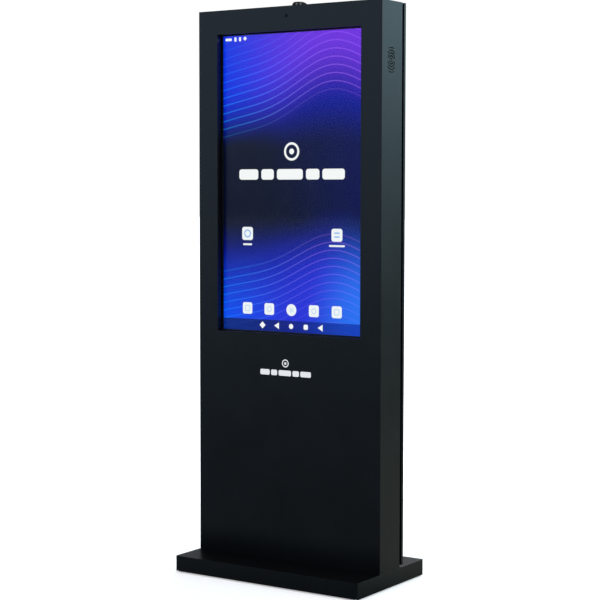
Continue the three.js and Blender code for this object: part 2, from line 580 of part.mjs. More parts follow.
// circuit board, lens barrel and a connector on the back
const [CAM_X, CAM_Z] = CAMERA;
const LENS_PROFILE = [
  [0, SKIN_Y + 3], [3, SKIN_Y + 3], [3, SKIN_Y + 1.7], [6, SKIN_Y + 1.7], [7, SKIN_Y + 3],
  [7, -62], [9, -61], [9, -58], [0, -58],
];
add('camera_module', union(
  prism('y', roundRect(CAM_Z, CAM_X, 30, 44, 2, 2), [-59, -57.4]),
  turn('y', CAMERA, LENS_PROFILE, 20),
  box([CAM_X - 18, CAM_X - 8], [-58, -51], [CAM_Z - 12, CAM_Z - 5])), { color: 0x17191b });

// low domed antenna puck whose flat top sits towards -x: radius, offset in x, height
const ANTENNA_RINGS = [
  [25, 0, 0], [24.6, 0, 5.5], [23.2, 0, 10.5], [20.6, -1, 14], [17.4, -2.2, 16.3],
  [14.6, -3.4, 17.5],
];
const ANTENNA_WINDOWS = [-82, -50];     // bearings of the windows from +x, degrees

function antennaHousing() {
  const bottom = CAB_TOP + GAP;
  const points = ANTENNA_RINGS.flatMap(([radius, x, height]) =>
    circle(x, 0, radius, 28).map(([a, b]) => new THREE.Vector3(a, b, bottom + height)));
  // two shallow upright windows in the wall
  const windows = ANTENNA_WINDOWS.map(bearing => {
    const geometry = new THREE.BoxGeometry(4, 4.6, 6.4);
    geometry.translate(24, 0, 0);
    geometry.rotateZ(radians(bearing));
    geometry.translate(0, 0, bottom + 9.4);
    return toSolid(geometry);
  });
  const stem = rod('z', [0, 0], 6, [CAB_TOP - 20, bottom + 1]);
  return union(cut(toSolid(new ConvexGeometry(points)), windows), stem);
}
add('antenna_housing', antennaHousing(), { color: 0x0e0f10 });

const NUT_TOP = CAB_TOP - SHEET - GAP;
add('antenna_nut', prism('z', circle(0, 0, 11, 6), [NUT_TOP - 6, NUT_TOP],
  [circle(0, 0, 6.05, 16)]), { color: 0xb0a070, metalness: 0.9 });

export default group;
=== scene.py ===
"""Freestanding kiosk: a tall cabinet on a plinth with a portrait screen and a rear door.

Shapes are in millimetres; shaders, lights and the camera are in metres. The screen faces -Y,
the door is at +Y, "left" is -X, "right" is +X, and the floor is at z = 0.
"""

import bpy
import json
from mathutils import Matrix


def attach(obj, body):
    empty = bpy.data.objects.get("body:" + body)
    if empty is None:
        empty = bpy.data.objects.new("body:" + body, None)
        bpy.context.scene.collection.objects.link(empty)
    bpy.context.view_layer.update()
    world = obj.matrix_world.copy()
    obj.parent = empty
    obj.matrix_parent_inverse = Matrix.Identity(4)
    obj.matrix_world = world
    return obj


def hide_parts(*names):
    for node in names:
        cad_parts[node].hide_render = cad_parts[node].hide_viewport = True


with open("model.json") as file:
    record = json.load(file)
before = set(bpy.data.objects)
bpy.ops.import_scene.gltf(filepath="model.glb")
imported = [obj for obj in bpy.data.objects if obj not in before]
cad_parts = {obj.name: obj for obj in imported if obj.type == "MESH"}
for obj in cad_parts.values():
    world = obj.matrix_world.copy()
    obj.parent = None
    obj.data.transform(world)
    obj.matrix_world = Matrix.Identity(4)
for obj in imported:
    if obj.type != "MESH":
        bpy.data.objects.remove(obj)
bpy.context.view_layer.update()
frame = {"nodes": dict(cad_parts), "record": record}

import json
import math
import bpy
import bmesh
from mathutils import Matrix, Vector
from mathutils.geometry import tessellate_polygon

scene = bpy.context.scene
PI = math.pi
SIDES = {"left": -1, "right": 1}

# places shared by several parts, in millimetres
SHELL_FRONT = -71.0                      # y of the front face of the shell
ROOF_Z = 1804.0
SCREEN_Z = 1253.0                        # middle of the screen picture
CAMERA_X, CAMERA_Z = -2.0, 1773.0
SPEAKER_Y, SPEAKER_Z = -16.5, 1625.5
FAN_X, FAN_Z = 110.0, 1668.0             # the fans stand at -x and +x
FILTER_Z = 200.0
LOCK_X, LOCK_Z = 285.0, {"upper": 1330.0, "lower": 420.0}
SOCKET_Z = 29.0                          # sockets in the rear of the plinth
INLET_X, SWITCH_X, NETWORK_X = -170.0, -110.0, -70.0

# bars of the generic mark on the screen: (middle x, width)
MARK_BARS = ((-165, 74), (-92, 48), (-7, 98), (79, 50), (156, 82))


# ---------------------------------------------------------------- shader helpers
class Value:
    """A number inside a node tree, with arithmetic."""

    def __init__(self, net, socket):
        self.net, self.socket = net, socket

    def op(self, name, *others, clamp=False):
        return Value(self.net, self.net.node("Math", self, *others,
                                             operation=name, use_clamp=clamp))

    def __add__(self, other): return self.op("ADD", other)
    __radd__ = __add__
    def __mul__(self, other): return self.op("MULTIPLY", other)
    def __sub__(self, other): return self.op("SUBTRACT", other)
    def __truediv__(self, other): return self.op("DIVIDE", other)
    def __neg__(self): return self * -1.0
    def abs(self): return self.op("ABSOLUTE")
    def max(self, other): return self.op("MAXIMUM", other)
    def min(self, other): return self.op("MINIMUM", other)
    def sqrt(self): return self.op("SQRT")
    def sin(self): return self.op("SINE")
    def fract(self): return self.op("FRACT")
    def wrap(self, low, high): return self.op("WRAP", high, low)
    def clamp01(self): return self.op("ADD", 0.0, clamp=True)

    def __rsub__(self, other):
        socket = self.net.node("Value")
        socket.default_value = float(other)
        return Value(self.net, socket) - self

    def ramp(self, start, end, low=0.0, high=1.0, kind="SMOOTHSTEP"):
        """Runs from low at start to high at end, and stays level outside."""
        return Value(self.net, self.net.node("MapRange", self, start, end, low, high,
                                             interpolation_type=kind, clamp=True))

    def spread(self, low, high, margin=0.3):
        """Maps 0..1, less a margin at both ends, to low..high."""
        return self.ramp(margin, 1 - margin, low, high)

    def swing(self, amount):
        """Turns 0..1 into an offset either side of zero."""
        return (self - 0.5) * amount


class Net:
    """A node tree with its output node and one coordinate source."""

    def __init__(self, tree, output="OutputMaterial", coordinates="Object"):
        tree.nodes.clear()
        self.tree = tree
        self.output = tree.nodes.new("ShaderNode" + output)
        self.place = self.node("TexCoord", out=coordinates)

    def put(self, value, socket):
        """Links a value to a socket, or sets a constant."""
        if isinstance(value, Value):
            value = value.socket
        if isinstance(value, bpy.types.NodeSocket):
            self.tree.links.new(value, socket)
        elif isinstance(value, (tuple, list)):
            alpha = (1.0,) if len(value) == 3 and len(socket.default_value) == 4 else ()
            socket.default_value = tuple(value) + alpha
        else:
            socket.default_value = float(value)

    def node(self, kind, *values, sockets=None, out=0, **settings):
        """Adds a node, fills its inputs by place or by key, and returns one output."""
        node = self.tree.nodes.new("ShaderNode" + kind)
        for key, setting in settings.items():
            setattr(node, key, setting)
        for key, value in (*enumerate(values), *(sockets or {}).items()):
            self.put(value, node.inputs[key])
        return node.outputs[out]

    def finish(self, shader):
        self.put(shader, self.output.inputs[0])

    def split(self, vector):
        outputs = self.node("SeparateXYZ", vector).node.outputs
        return [Value(self, output) for output in outputs]

    def stretch(self, *scale):
        return self.node("Mapping", self.place, sockets={"Scale": scale})

    def noise(self, scale, detail=2.0, rough=0.5, at=None, distort=0.0):
        return Value(self, self.node("TexNoise", sockets={
            "Vector": at or self.place, "Scale": scale, "Detail": detail,
            "Roughness": rough, "Distortion": distort}))

    def voronoi(self, scale, at=None, feature="F1", out="Distance"):
        return Value(self, self.node(
            "TexVoronoi", sockets={"Vector": at or self.place, "Scale": scale},
            feature=feature, out=out))

    def cells(self, scale, at=None):
        """A random value for each Voronoi cell."""
        return self.split(self.voronoi(scale, at, out="Color").socket)[0]

    def mix(self, first, second, factor=1.0, blend="MIX"):
        return self.node("Mix", sockets={0: factor, 6: first, 7: second},
                         data_type="RGBA", blend_type=blend, out=2)

    def scale_rgb(self, color, factor):
        return self.mix(color, self.node("CombineColor", factor, factor, factor),
                        blend="MULTIPLY")

    def add_rgb(self, first, second):
        return self.mix(first, second, blend="ADD")

    def bump(self, height, distance, strength):
        return self.node("Bump", sockets={"Strength": strength, "Distance": distance,
                                          "Height": height})

    def edge(self, radius):
        """Mask of the outer edges, where a bevelled normal leaves the true one."""
        bevelled = self.node("Bevel", sockets={"Radius": radius}, samples=4)
        true = self.node("NewGeometry", out="Normal")
        dot = self.node("VectorMath", bevelled, true, operation="DOT_PRODUCT", out="Value")
        return Value(self, dot).ramp(0.985, 0.86)

    def geometry(self, output):
        return self.split(self.node("NewGeometry", out=output))

    def surface(self, base, rough, metal=0.0, normal=None, **extra):
        """Ends the tree in a Principled shader; extra names its other inputs."""
        sockets = {"Base Color": base, "Roughness": rough, "Metallic": metal}
        if normal is not None:
            sockets["Normal"] = normal
        sockets.update((key.replace("_", " "), value) for key, value in extra.items())
        self.finish(self.node("BsdfPrincipled", sockets=sockets))


MATERIALS = {}


def material(name):
    made = bpy.data.materials.new(name)
    made.use_nodes = True
    MATERIALS[name] = made
    return Net(made.node_tree)


# ---------------------------------------------------------------- materials
def powder(name, rgb, rough, grain=1.0, spec=0.5, wear_and_edge_sheen=1.0, top=1.0, foot=1.0):
    """Powder coat: orange peel, grit, haze and lighter edges: chipped wear, plus an even painted
    highlight along every edge.

    top and foot paint shade: they scale down the colour and shine of upward faces, and of the
    front near the floor.
    """
    net = material(name)
    peel = net.noise(520, rough=0.55)
    grit = net.voronoi(1500)
    cloud = net.noise(5.5, detail=3.0, rough=0.6)
    streak = net.noise(1.0, detail=3.0, rough=0.6, at=net.stretch(26, 26, 2.2))
    edge = net.edge(radius=0.0016)
    chips = net.noise(190, detail=3.0, rough=0.65).ramp(0.50, 0.66)
    worn = (edge * chips * 0.55 * wear_and_edge_sheen).clamp01()
    tone = cloud.ramp(0.3, 0.72, low=0.86, high=1.16) * grit.spread(0.93, 1.09, margin=0.1)
    # chips are wear; the even edge * 0.05 lightening along every edge is a painted highlight
    base = net.mix(net.scale_rgb(rgb, tone), (0.10, 0.105, 0.11),
                   worn * 0.6 + edge * 0.05 * wear_and_edge_sheen)
    rough = rough + cloud.swing(0.10) + streak.swing(0.07) + peel.swing(0.08) - worn * 0.08
    # painted shade: upward faces get a darker colour and weaker shine
    if top < 1.0:
        painted_shade_factor = net.geometry("Normal")[2].ramp(0.6, 0.9, low=1.0, high=top)
        base, spec = net.scale_rgb(base, painted_shade_factor), painted_shade_factor * painted_shade_factor * spec
    # painted shade: the front darkens towards the floor, where the plinth shades it
    if foot < 1.0:
        forward = net.geometry("Normal")[1].ramp(-0.9, -0.6, low=1.0, high=0.0)
        painted_floor_shade = net.geometry("Position")[2].ramp(0.054, 0.155, low=1.0 - foot, high=0.0)
        painted_shade_factor = 1.0 - forward * painted_floor_shade
        base, spec = net.scale_rgb(base, painted_shade_factor), painted_shade_factor * spec
    net.surface(base, rough, normal=net.bump(peel * 0.7 + grit * 0.5, 0.00012 * grain, 0.55),
                Specular_IOR_Level=spec, Specular_Tint=(0.86, 0.98, 1.0))


def galvanised(name, rgb, rough, scale):
    """Zinc-coated sheet with a frosted crystal spangle."""
    net = material(name)
    coarse = net.cells(scale)
    small = net.cells(scale * 2.6)
    fine = net.noise(900, rough=0.6)
    cloud = net.noise(9, detail=3.0, rough=0.6)
    tone = coarse.ramp(0, 1, low=0.93, high=1.04, kind="LINEAR")
    tone = tone * small.ramp(0, 1, low=0.95, high=1.03, kind="LINEAR")
    net.surface(net.scale_rgb(rgb, tone * cloud.spread(0.94, 1.04)),
                rough + coarse.swing(0.07) + fine.swing(0.10), metal=0.85,
                normal=net.bump(fine * 0.5 + coarse * 0.25, 0.00005, 0.4))


def brushed(name, rgb, rough, metal=1.0):
    """Ground metal with long fine vertical lines."""
    net = material(name)
    line = net.noise(1.0, detail=3.0, rough=0.7, at=net.stretch(900, 900, 14))
    cloud = net.noise(30)
    tone = line.spread(0.86, 1.1, margin=0.2) * cloud.spread(0.93, 1.05)
    net.surface(net.scale_rgb(rgb, tone), rough + line.swing(0.2), metal=metal,
                normal=net.bump(line, 0.00004, 0.35))


def plated(name, rgb, rough):
    """Bright plating with fine scratches and slight clouding."""
    net = material(name)
    scratch = net.noise(60, rough=0.6, distort=2.2)
    fine = net.noise(1600)
    cloud = net.noise(70)
    net.surface(net.scale_rgb(rgb, cloud.spread(0.88, 1.05)),
                rough + scratch.swing(0.16) + fine.swing(0.06), metal=1.0,
                normal=net.bump(scratch * 0.6 + fine * 0.3, 0.00004, 0.3))


def plastic(name, rgb, rough, grain=900, depth=0.00006, spec=0.5):
    """Moulded plastic with a fine grain and paler edges, a painted edge highlight."""
    net = material(name)
    fine = net.noise(grain, detail=3.0, rough=0.6)
    cloud = net.noise(40)
    edge = net.edge(radius=0.0006)
    tone = cloud.spread(0.9, 1.1) * fine.spread(0.94, 1.06, margin=0.2)
    # painted highlight: the edges are mixed towards a paler copy of the colour
    pale = tuple(min(1.0, channel * 2.2 + 0.02) for channel in rgb)
    net.surface(net.mix(net.scale_rgb(rgb, tone), pale, edge * 0.35),
                rough + fine.swing(0.18) + cloud.swing(0.1),
                normal=net.bump(fine, depth, 0.5), Specular_IOR_Level=spec)


def rubber():
    """Matt black rubber with a pale bloom."""
    net = material("black_rubber")
    fine = net.noise(1300, detail=3.0, rough=0.65)
    bloom = net.noise(60, detail=3.0, rough=0.6).ramp(0.48, 0.75) * 0.35
    cloud = net.noise(14)
    base = net.scale_rgb((0.012, 0.012, 0.013), fine.spread(0.85, 1.15, margin=0.2))
    net.surface(net.mix(base, (0.055, 0.055, 0.056), bloom), 0.72 + fine.swing(0.2),
                normal=net.bump(fine * 0.6 + cloud * 0.6, 0.00012, 0.5), Sheen_Weight=0.15)


def foam():
    """Open-cell foam: lighter struts, with painted shade darkening the pores between them."""
    net = material("foam")
    rgb = (0.03, 0.032, 0.034)
    pore = net.voronoi(620, feature="DISTANCE_TO_EDGE").ramp(0.02, 0.16)
    cloud = net.noise(80)
    # painted shade: the pores get a much darker copy of the colour
    strut, pore_shade = (tuple(channel * gain for channel in rgb) for gain in (2.1, 0.25))
    net.surface(net.scale_rgb(net.mix(strut, pore_shade, pore), cloud.spread(0.8, 1.2)), 0.92,
                normal=net.bump(-pore, 0.0007, 0.9), Sheen_Weight=0.2)


def gloss_black(name, rgb, rough):
    net = material(name)
    smear = net.noise(45, detail=3.0, rough=0.6)
    fine = net.noise(900)
    net.surface(net.scale_rgb(rgb, smear.spread(0.7, 1.3)),
                rough + smear.ramp(0.45, 0.8, low=0.0, high=0.14) + fine.swing(0.04),
                normal=net.bump(fine, 0.00002, 0.3), Coat_Weight=0.3)


def clear_glass():
    """Thin cover glass with weak reflections and faint smears; light passes straight through."""
    net = material("clear_glass")
    through = net.node("BsdfTransparent", (0.96, 0.975, 0.97))
    smear = net.noise(7, detail=4.0, rough=0.65, distort=1.0).ramp(0.5, 0.78)
    mirror = net.node("BsdfGlossy", (1, 1, 1), 0.03 + smear * 0.22)
    fresnel = Value(net, net.node("Fresnel", sockets={"IOR": 1.5}))
    share = (fresnel * (0.16 + smear * 0.07)).clamp01()
    net.finish(net.node("MixShader", share, through, mirror))


def lens_glass():
    """Near-black glass with a painted coating reflection: violet facing the view, cyan towards its
    rim.
    """
    net = material("lens_glass")
    cloud = net.noise(30)
    facing = net.node("LayerWeight", 0.4, out=1)
    # painted reflection: the tint follows the viewing angle
    base = net.mix((0.004, 0.002, 0.008), (0.002, 0.008, 0.012), facing)
    net.surface(net.scale_rgb(base, cloud.spread(0.8, 1.2)), 0.06 + cloud.swing(0.04),
                Coat_Weight=0.1, IOR=1.35, Specular_IOR_Level=0.25)


def circuit_board():
    """Green solder mask over copper runs and vias; its pattern is laid out in millimetres."""
    net = material("circuit_board")
    mask_green = (0.010, 0.085, 0.042)
    x, _, z = net.split(net.place)
    x, z = x * 1000.0, z * 1000.0

    def runs(along, across, pitch, seed):
        patch = net.node("CombineXYZ", along * 0.045 + seed, across * 0.16, 0.0)
        band = net.cells(1.0, at=patch).ramp(0.45, 0.55)
        return ((across / pitch).fract() - 0.5).abs().ramp(0.30, 0.22) * band

    copper = runs(x, z, pitch=1.7, seed=0.0).max(runs(z, x, pitch=1.9, seed=7.0) * 0.9)
    via = net.voronoi(0.34, at=net.node("CombineXYZ", x, z, 0.0))
    hole = via.ramp(0.10, 0.07)
    pad = via.ramp(0.22, 0.18) * (1.0 - hole)
    fine = net.noise(700)
    base = net.mix(mask_green, tuple(channel * 2.1 for channel in mask_green), copper * 0.55)
    base = net.mix(base, (0.72, 0.55, 0.28), pad)
    # painted shade: the via bores are near-black
    base = net.mix(base, (0.004, 0.006, 0.005), hole)
    net.surface(net.scale_rgb(base, fine.spread(0.9, 1.1, margin=0.2)),
                (0.34 - pad * 0.1) + fine.swing(0.1), metal=pad * 0.8,
                normal=net.bump(copper * 0.6 + pad * 0.5 - hole, 0.00006, 0.7))


def paper_cone():
    net = material("paper_cone")
    fibre = net.noise(420, detail=4.0, rough=0.7)
    net.surface(net.scale_rgb((0.020, 0.020, 0.021), fibre.spread(0.6, 1.5, margin=0.25)),
                0.86, normal=net.bump(fibre, 0.00015, 0.7), Sheen_Weight=0.2)


def cable_jacket(name, rgb):
    net = material(name)
    fine = net.noise(260)
    cloud = net.noise(24)
    net.surface(net.scale_rgb(rgb, cloud.spread(0.85, 1.15)),
                0.46 + fine.swing(0.16) + cloud.swing(0.1),
                normal=net.bump(fine, 0.0001, 0.35))


def white_vinyl(name, painted_glow):
    net = material(name)
    fine = net.noise(800)
    cloud = net.noise(20)
    # painted_glow makes the vinyl glow a little: painted light on a part that is no lamp
    net.surface(net.scale_rgb((0.80, 0.80, 0.80), cloud.spread(0.94, 1.02)),
                0.5 + fine.swing(0.15), normal=net.bump(fine, 0.00003, 0.3),
                Emission_Color=(1, 1, 1), Emission_Strength=painted_glow)


def diffuser():
    net = material("diffuser")
    dots = net.voronoi(420)
    net.surface(net.scale_rgb((0.82, 0.83, 0.84), dots.ramp(0.0, 0.7, low=1.0, high=0.9)),
                0.6, normal=net.bump(dots, 0.0001, 0.4), Transmission_Weight=0.2)


def green_led():
    net = material("green_led")
    green = (0.05, 0.9, 0.15)
    tone = net.noise(300, detail=1.0).spread(0.9, 1.1, margin=0.2)
    net.surface(net.scale_rgb(green, tone), 0.4, Emission_Color=green, Emission_Strength=1.6)


# foot paints shade low on the cabinet front; top paints shade on the plinth top
powder("cabinet_paint", (0.0070, 0.0075, 0.0080), rough=0.31, foot=0.33)
powder("door_paint", (0.0062, 0.0066, 0.0070), rough=0.36, spec=0.36)
powder("plinth_paint", (0.0042, 0.0045, 0.0044), rough=0.34, grain=1.2, spec=0.62, top=0.38)
# frame_paint: the frame's own black, darkened and dulled further as painted shade so the recessed
# gap round the door reads dark
powder("frame_paint", (0.0022, 0.0023, 0.0025), rough=0.60, grain=0.8, spec=0.25)
powder("foot_steel", (0.010, 0.010, 0.011), rough=0.42)
galvanised("mild_steel", (0.42, 0.43, 0.44), rough=0.44, scale=130)
galvanised("zinc_steel", (0.56, 0.57, 0.58), rough=0.40, scale=150)
galvanised("tray_alloy", (0.58, 0.59, 0.60), rough=0.42, scale=190)
brushed("heatsink_alu", (0.62, 0.63, 0.65), rough=0.34)
brushed("black_anodised", (0.020, 0.021, 0.024), rough=0.38, metal=0.6)
plated("fastener_zinc", (0.60, 0.61, 0.60), rough=0.30)
plated("lock_chrome", (0.66, 0.67, 0.68), rough=0.15)
plated("brass_nut", (0.70, 0.52, 0.24), rough=0.28)
plated("gold_contact", (0.83, 0.61, 0.24), rough=0.20)
plated("port_nickel", (0.62, 0.62, 0.61), rough=0.22)
plated("copper_wire", (0.72, 0.33, 0.16), rough=0.28)
plastic("black_plastic", (0.013, 0.013, 0.014), rough=0.40)
plastic("lcd_bezel", (0.006, 0.006, 0.007), rough=0.55)
plastic("speaker_black", (0.0045, 0.0045, 0.005), rough=0.72)
plastic("chip_epoxy", (0.010, 0.010, 0.011), rough=0.55, grain=1500, depth=0.00003)
plastic("white_nylon", (0.62, 0.61, 0.56), rough=0.45, depth=0.00004)
plastic("cap_sleeve", (0.012, 0.016, 0.045), rough=0.30, grain=700, depth=0.00003)
plastic("ferrite", (0.035, 0.036, 0.038), rough=0.62, grain=600, depth=0.00008)
plastic("window_polycarbonate", (0.30, 0.31, 0.31), rough=0.35, grain=600, depth=0.00004)
plastic("antenna_plastic", (0.0020, 0.0020, 0.0024), rough=0.72, depth=0.00008, spec=0.16)
gloss_black("gloss_black", (0.004, 0.004, 0.005), rough=0.10)
# dark_inside is painted shade: a near-black fill set in socket mouths and pin holes
gloss_black("dark_inside", (0.002, 0.002, 0.002), rough=0.6)
# the white marks glow: painted light
white_vinyl("white_vinyl", painted_glow=0.5)
white_vinyl("plain_label", painted_glow=0.0)
for build in (rubber, foam, clear_glass, lens_glass, circuit_board, paper_cone, diffuser,
              green_led):
    build()
for name, rgb in (
        ("cable_black", (0.010, 0.010, 0.011)), ("cable_blue", (0.020, 0.075, 0.26)),
        ("wire_red", (0.42, 0.012, 0.010)), ("wire_yellow", (0.60, 0.42, 0.02)),
        ("wire_blue", (0.02, 0.09, 0.42)), ("wire_brown", (0.10, 0.035, 0.014)),
        ("wire_earth", (0.10, 0.36, 0.03)), ("wire_black", (0.012, 0.012, 0.012)),
        ("ribbon_grey", (0.16, 0.165, 0.17))):
    cable_jacket(name, rgb)


def screen_picture():
    """A home screen drawn from distance fields: blue to violet waves with plain icons.

    x and z are millimetres from the middle of the screen.
    """
    net = material("lcd_surface")
    x, _, z = net.split(net.place)
    x, z = x * 1000.0, (z - SCREEN_Z / 1000) * 1000.0
    soft, white = (0.95, 0.97, 1.0), (1.0, 1.0, 1.0)
    grey, icon_blue = (0.60, 0.74, 0.93), (0.22, 0.45, 0.88)
    blur = 0.9                           # half the width of a drawn edge

    # distance fields: negative inside the shape
    def rect(cx, cz, width, height, radius, across=x):
        dx = (across - cx).abs() - (width / 2 - radius)
        dz = (z - cz).abs() - (height / 2 - radius)
        out_x, out_z = dx.max(0.0), dz.max(0.0)
        return (out_x * out_x + out_z * out_z).sqrt() + dx.max(dz).min(0.0) - radius

    def disc(cx, cz, radius, across=x):
        dx, dz = across - cx, z - cz
        return (dx * dx + dz * dz).sqrt() - radius

    def triangle(cx, cz, size):
        dx, dz = x - cx, (z - cz).abs()
        return (dx - size * 0.5).max(dz * 0.866 - dx * 0.5 - size * 0.32)

    def gem(cx, cz, size):
        return ((x - cx).abs() + (z - cz).abs()) * 0.7071 - size * 0.5

    def column(cx):
        return (x - cx).abs() - 20

    def fill(first, *others):
        """Mask of one shape or the union of several."""
        mask = first.ramp(blur, -blur)
        for other in others:
            mask = mask.max(other.ramp(blur, -blur))
        return mask

    # wallpaper: light waves above and below a dark middle
    across, rise = x / 270.0, z / 475.0
    sway = (across * 2.3 + 0.7).sin() * 0.10 + (across * 4.1 + -1.1).sin() * 0.035
    sway = (across * 2.3 + 0.7).sin() * 0.10 + (across * 4.1 - 1.1).sin() * 0.035 + across * 0.07
    top, low = rise - sway, -rise + sway * 0.9 - 0.03
    color = net.mix((0.0, 0.0014, 0.016), (0.0, 0.0020, 0.085),
                    (across * 0.55 + rise * 0.30).ramp(-0.3, 0.8))
    color = net.mix(color, (0.0, 0.0045, 0.36),
                    (rise.abs() - sway.abs() * 0.3).ramp(0.20, 0.62))
    top_color = net.mix((0.0, 0.030, 0.80), (0.165, 0.026, 0.78),
                        (across + rise * 0.35).ramp(-0.75, 0.95))
    low_color = net.mix((0.0, 0.085, 0.98), (0.018, 0.030, 0.72),
                        (across * 1.2 + 0.4).ramp(-0.9, 0.5))
    low_color = net.mix(low_color, (0.020, 0.17, 0.95), (across - rise * 0.5).ramp(0.55, 1.35))
    color = net.mix(color, top_color, top.ramp(0.36, 0.84))
    color = net.mix(color, low_color, low.ramp(0.24, 0.88))

    # fine contour lines that follow the waves and fade inwards
    glow = net.mix((0.0, 0.42, 0.90), (0.42, 0.16, 0.62), (across + 0.1).ramp(-0.9, 0.8))
    for wave, fade_in, fade_out, bright in ((top, (0.40, 0.52), 0.55, 0.34),
                                            (low, (0.38, 0.50), 0.50, 0.26)):
        fade = wave.ramp(*fade_in) * wave.ramp(1.05, fade_out, low=0.25, high=1.0)
        line = ((wave * 19.0).fract() - 0.5).abs().ramp(0.115, 0.02)
        color = net.add_rgb(color, net.scale_rgb(glow, line * fade * bright))
    columns = ((x * 1.89).fract() - 0.5).abs().ramp(0.5, 0.34, low=0.90, high=1.0)

    # navigation strip
    strip = net.mix((0.001, 0.008, 0.085), (0.001, 0.028, 0.46), (across - 0.1).ramp(-0.5, 1.0))
    color = net.mix(color, strip, z.ramp(-433.3, -434.7) * 0.82)
    # home icons, each over a label bar: x, z, width, height, bar width, bar z
    for cx, cz, width, height, bar_width, bar_z in (
            (-170, -160, 42, 42, 35, -194.5), (169, -160.5, 40, 40, 58, -194)):
        color = net.mix(color, soft, fill(rect(cx, cz, width, height, 8)))
        color = net.mix(color, white, fill(rect(cx, bar_z, bar_width, 6, 3)) * 0.92)
    color = net.mix(color, icon_blue, fill(disc(-170, -160, 11).abs() - 1.9))
    color = net.mix(color, icon_blue, fill(rect(169, -154, 20, 4, 2), rect(169, -166, 20, 4, 2)))

    # dock: icons at an even pitch, with the middle one as a disc
    dock_z = -399.5
    tile = (x + 0.5).wrap(-42.4, 42.4)
    in_dock = fill(x.abs() - 200.0)
    middle = fill(26.0 - (x + 0.5).abs())
    color = net.mix(color, soft, fill(rect(0, dock_z, 37, 37, 7, tile)) * in_dock * middle)
    squares = fill((x + 170.3).abs() - 20, column(169.3))
    squares = squares * fill(rect(0, dock_z, 17, 17, 3, tile).abs() - 1.6)
    rings = fill((x + 85.5).abs() - 20, column(84.5))
    rings = rings * fill(disc(0, dock_z, 8, tile).abs() - 1.6)
    color = net.mix(color, grey, squares.max(rings) * in_dock)
    color = net.mix(color, soft, fill(disc(-0.5, dock_z, 18.8)))
    color = net.mix(color, grey, fill(rect(-0.5, dock_z, 15, 15, 4)) * 0.6)

    # symbols in the navigation strip, then status marks at the top
    nav_z, status_z = -451.5, 459.5
    symbols = fill(
        gem(-111.5, nav_z, 16), triangle(-56, nav_z, 16), disc(-1.5, nav_z, 8),
        rect(54, nav_z, 16, 16, 4), triangle(109, nav_z, 16),
        rect(-244, status_z, 25, 8, 3.5), rect(-217, status_z, 8, 13, 1.5),
        rect(-199, status_z, 8, 13, 2.5), gem(-179.5, 460.5, 10))
    # a dot in a ring over a row of bars
    sign = fill(disc(0, 100, 9), disc(0, 100, 25).abs() - 3.6,
                *(rect(cx, 28.5, width, 33, 9) for cx, width in MARK_BARS))
    color = net.mix(color, white, symbols.max(sign))
    active = fill(x.abs() - 264.6) * fill(z.abs() - 470.4)
    color = net.mix((0.002, 0.002, 0.003), net.scale_rgb(color, columns), active)
    net.surface((0.004, 0.004, 0.005), 0.30, Specular_IOR_Level=0.25,
                Emission_Color=color, Emission_Strength=1.0)


screen_picture()


# ---------------------------------------------------------------- mesh helpers
def axis_frame(axis):
    """Turns (u, v, height) so that height runs along the axis."""
    return {"x": Matrix(((0, 0, 1), (1, 0, 0), (0, 1, 0))),
            "y": Matrix(((1, 0, 0), (0, 0, 1), (0, 1, 0))),
            "z": Matrix.Identity(3)}[axis].to_4x4()


def soften(mesh, edges, width, segments):
    bmesh.ops.bevel(mesh, geom=edges, offset=width, offset_type="OFFSET", segments=segments,
                    profile=0.5, affect="EDGES", clamp_overlap=True)


def box(x0, x1, y0, y1, z0, z1, rim=0.5, segments=2):
    mesh = bmesh.new()
    bmesh.ops.create_cube(mesh, size=1.0)
    for vert in mesh.verts:
        x, y, z = vert.co + Vector((0.5, 0.5, 0.5))
        vert.co = (x0 + x * (x1 - x0), y0 + y * (y1 - y0), z0 + z * (z1 - z0))
    rim = min(rim, 0.45 * min(abs(x1 - x0), abs(y1 - y0), abs(z1 - z0)))
    soften(mesh, list(mesh.edges), rim, segments)
    return mesh


def bridge(mesh, first, second):
    """Joins two closed rings of vertices with a band of faces."""
    for k in range(len(first)):
        after = (k + 1) % len(first)
        mesh.faces.new((first[k], first[after], second[after], second[k]))


def lathe(axis, centre, profile, sides=32, shape=None):
    """Turns (radius, height) points round an axis. shape(row, angle, radius) alters a radius."""
    mesh = bmesh.new()
    frame_matrix = axis_frame(axis)
    rows = []
    for i, (radius, height) in enumerate(profile):
        row = []
        for k in range(sides if radius else 1):
            angle = 2 * PI * k / sides
            reach = shape(i, angle, radius) if shape and radius else radius
            row.append(mesh.verts.new(frame_matrix @ Vector((
                centre[0] + reach * math.cos(angle), centre[1] + reach * math.sin(angle),
                height))))
        rows.append(row)
    if profile[0][0] or profile[-1][0]:
        rows.append(rows[0])
    for first, second in zip(rows, rows[1:]):
        if len(first) > 1 and len(second) > 1:
            bridge(mesh, first, second)
            continue
        for k in range(sides):
            after = (k + 1) % sides
            if len(first) == 1:
                mesh.faces.new((first[0], second[k], second[after]))
            else:
                mesh.faces.new((first[k], first[after], second[0]))
    return mesh


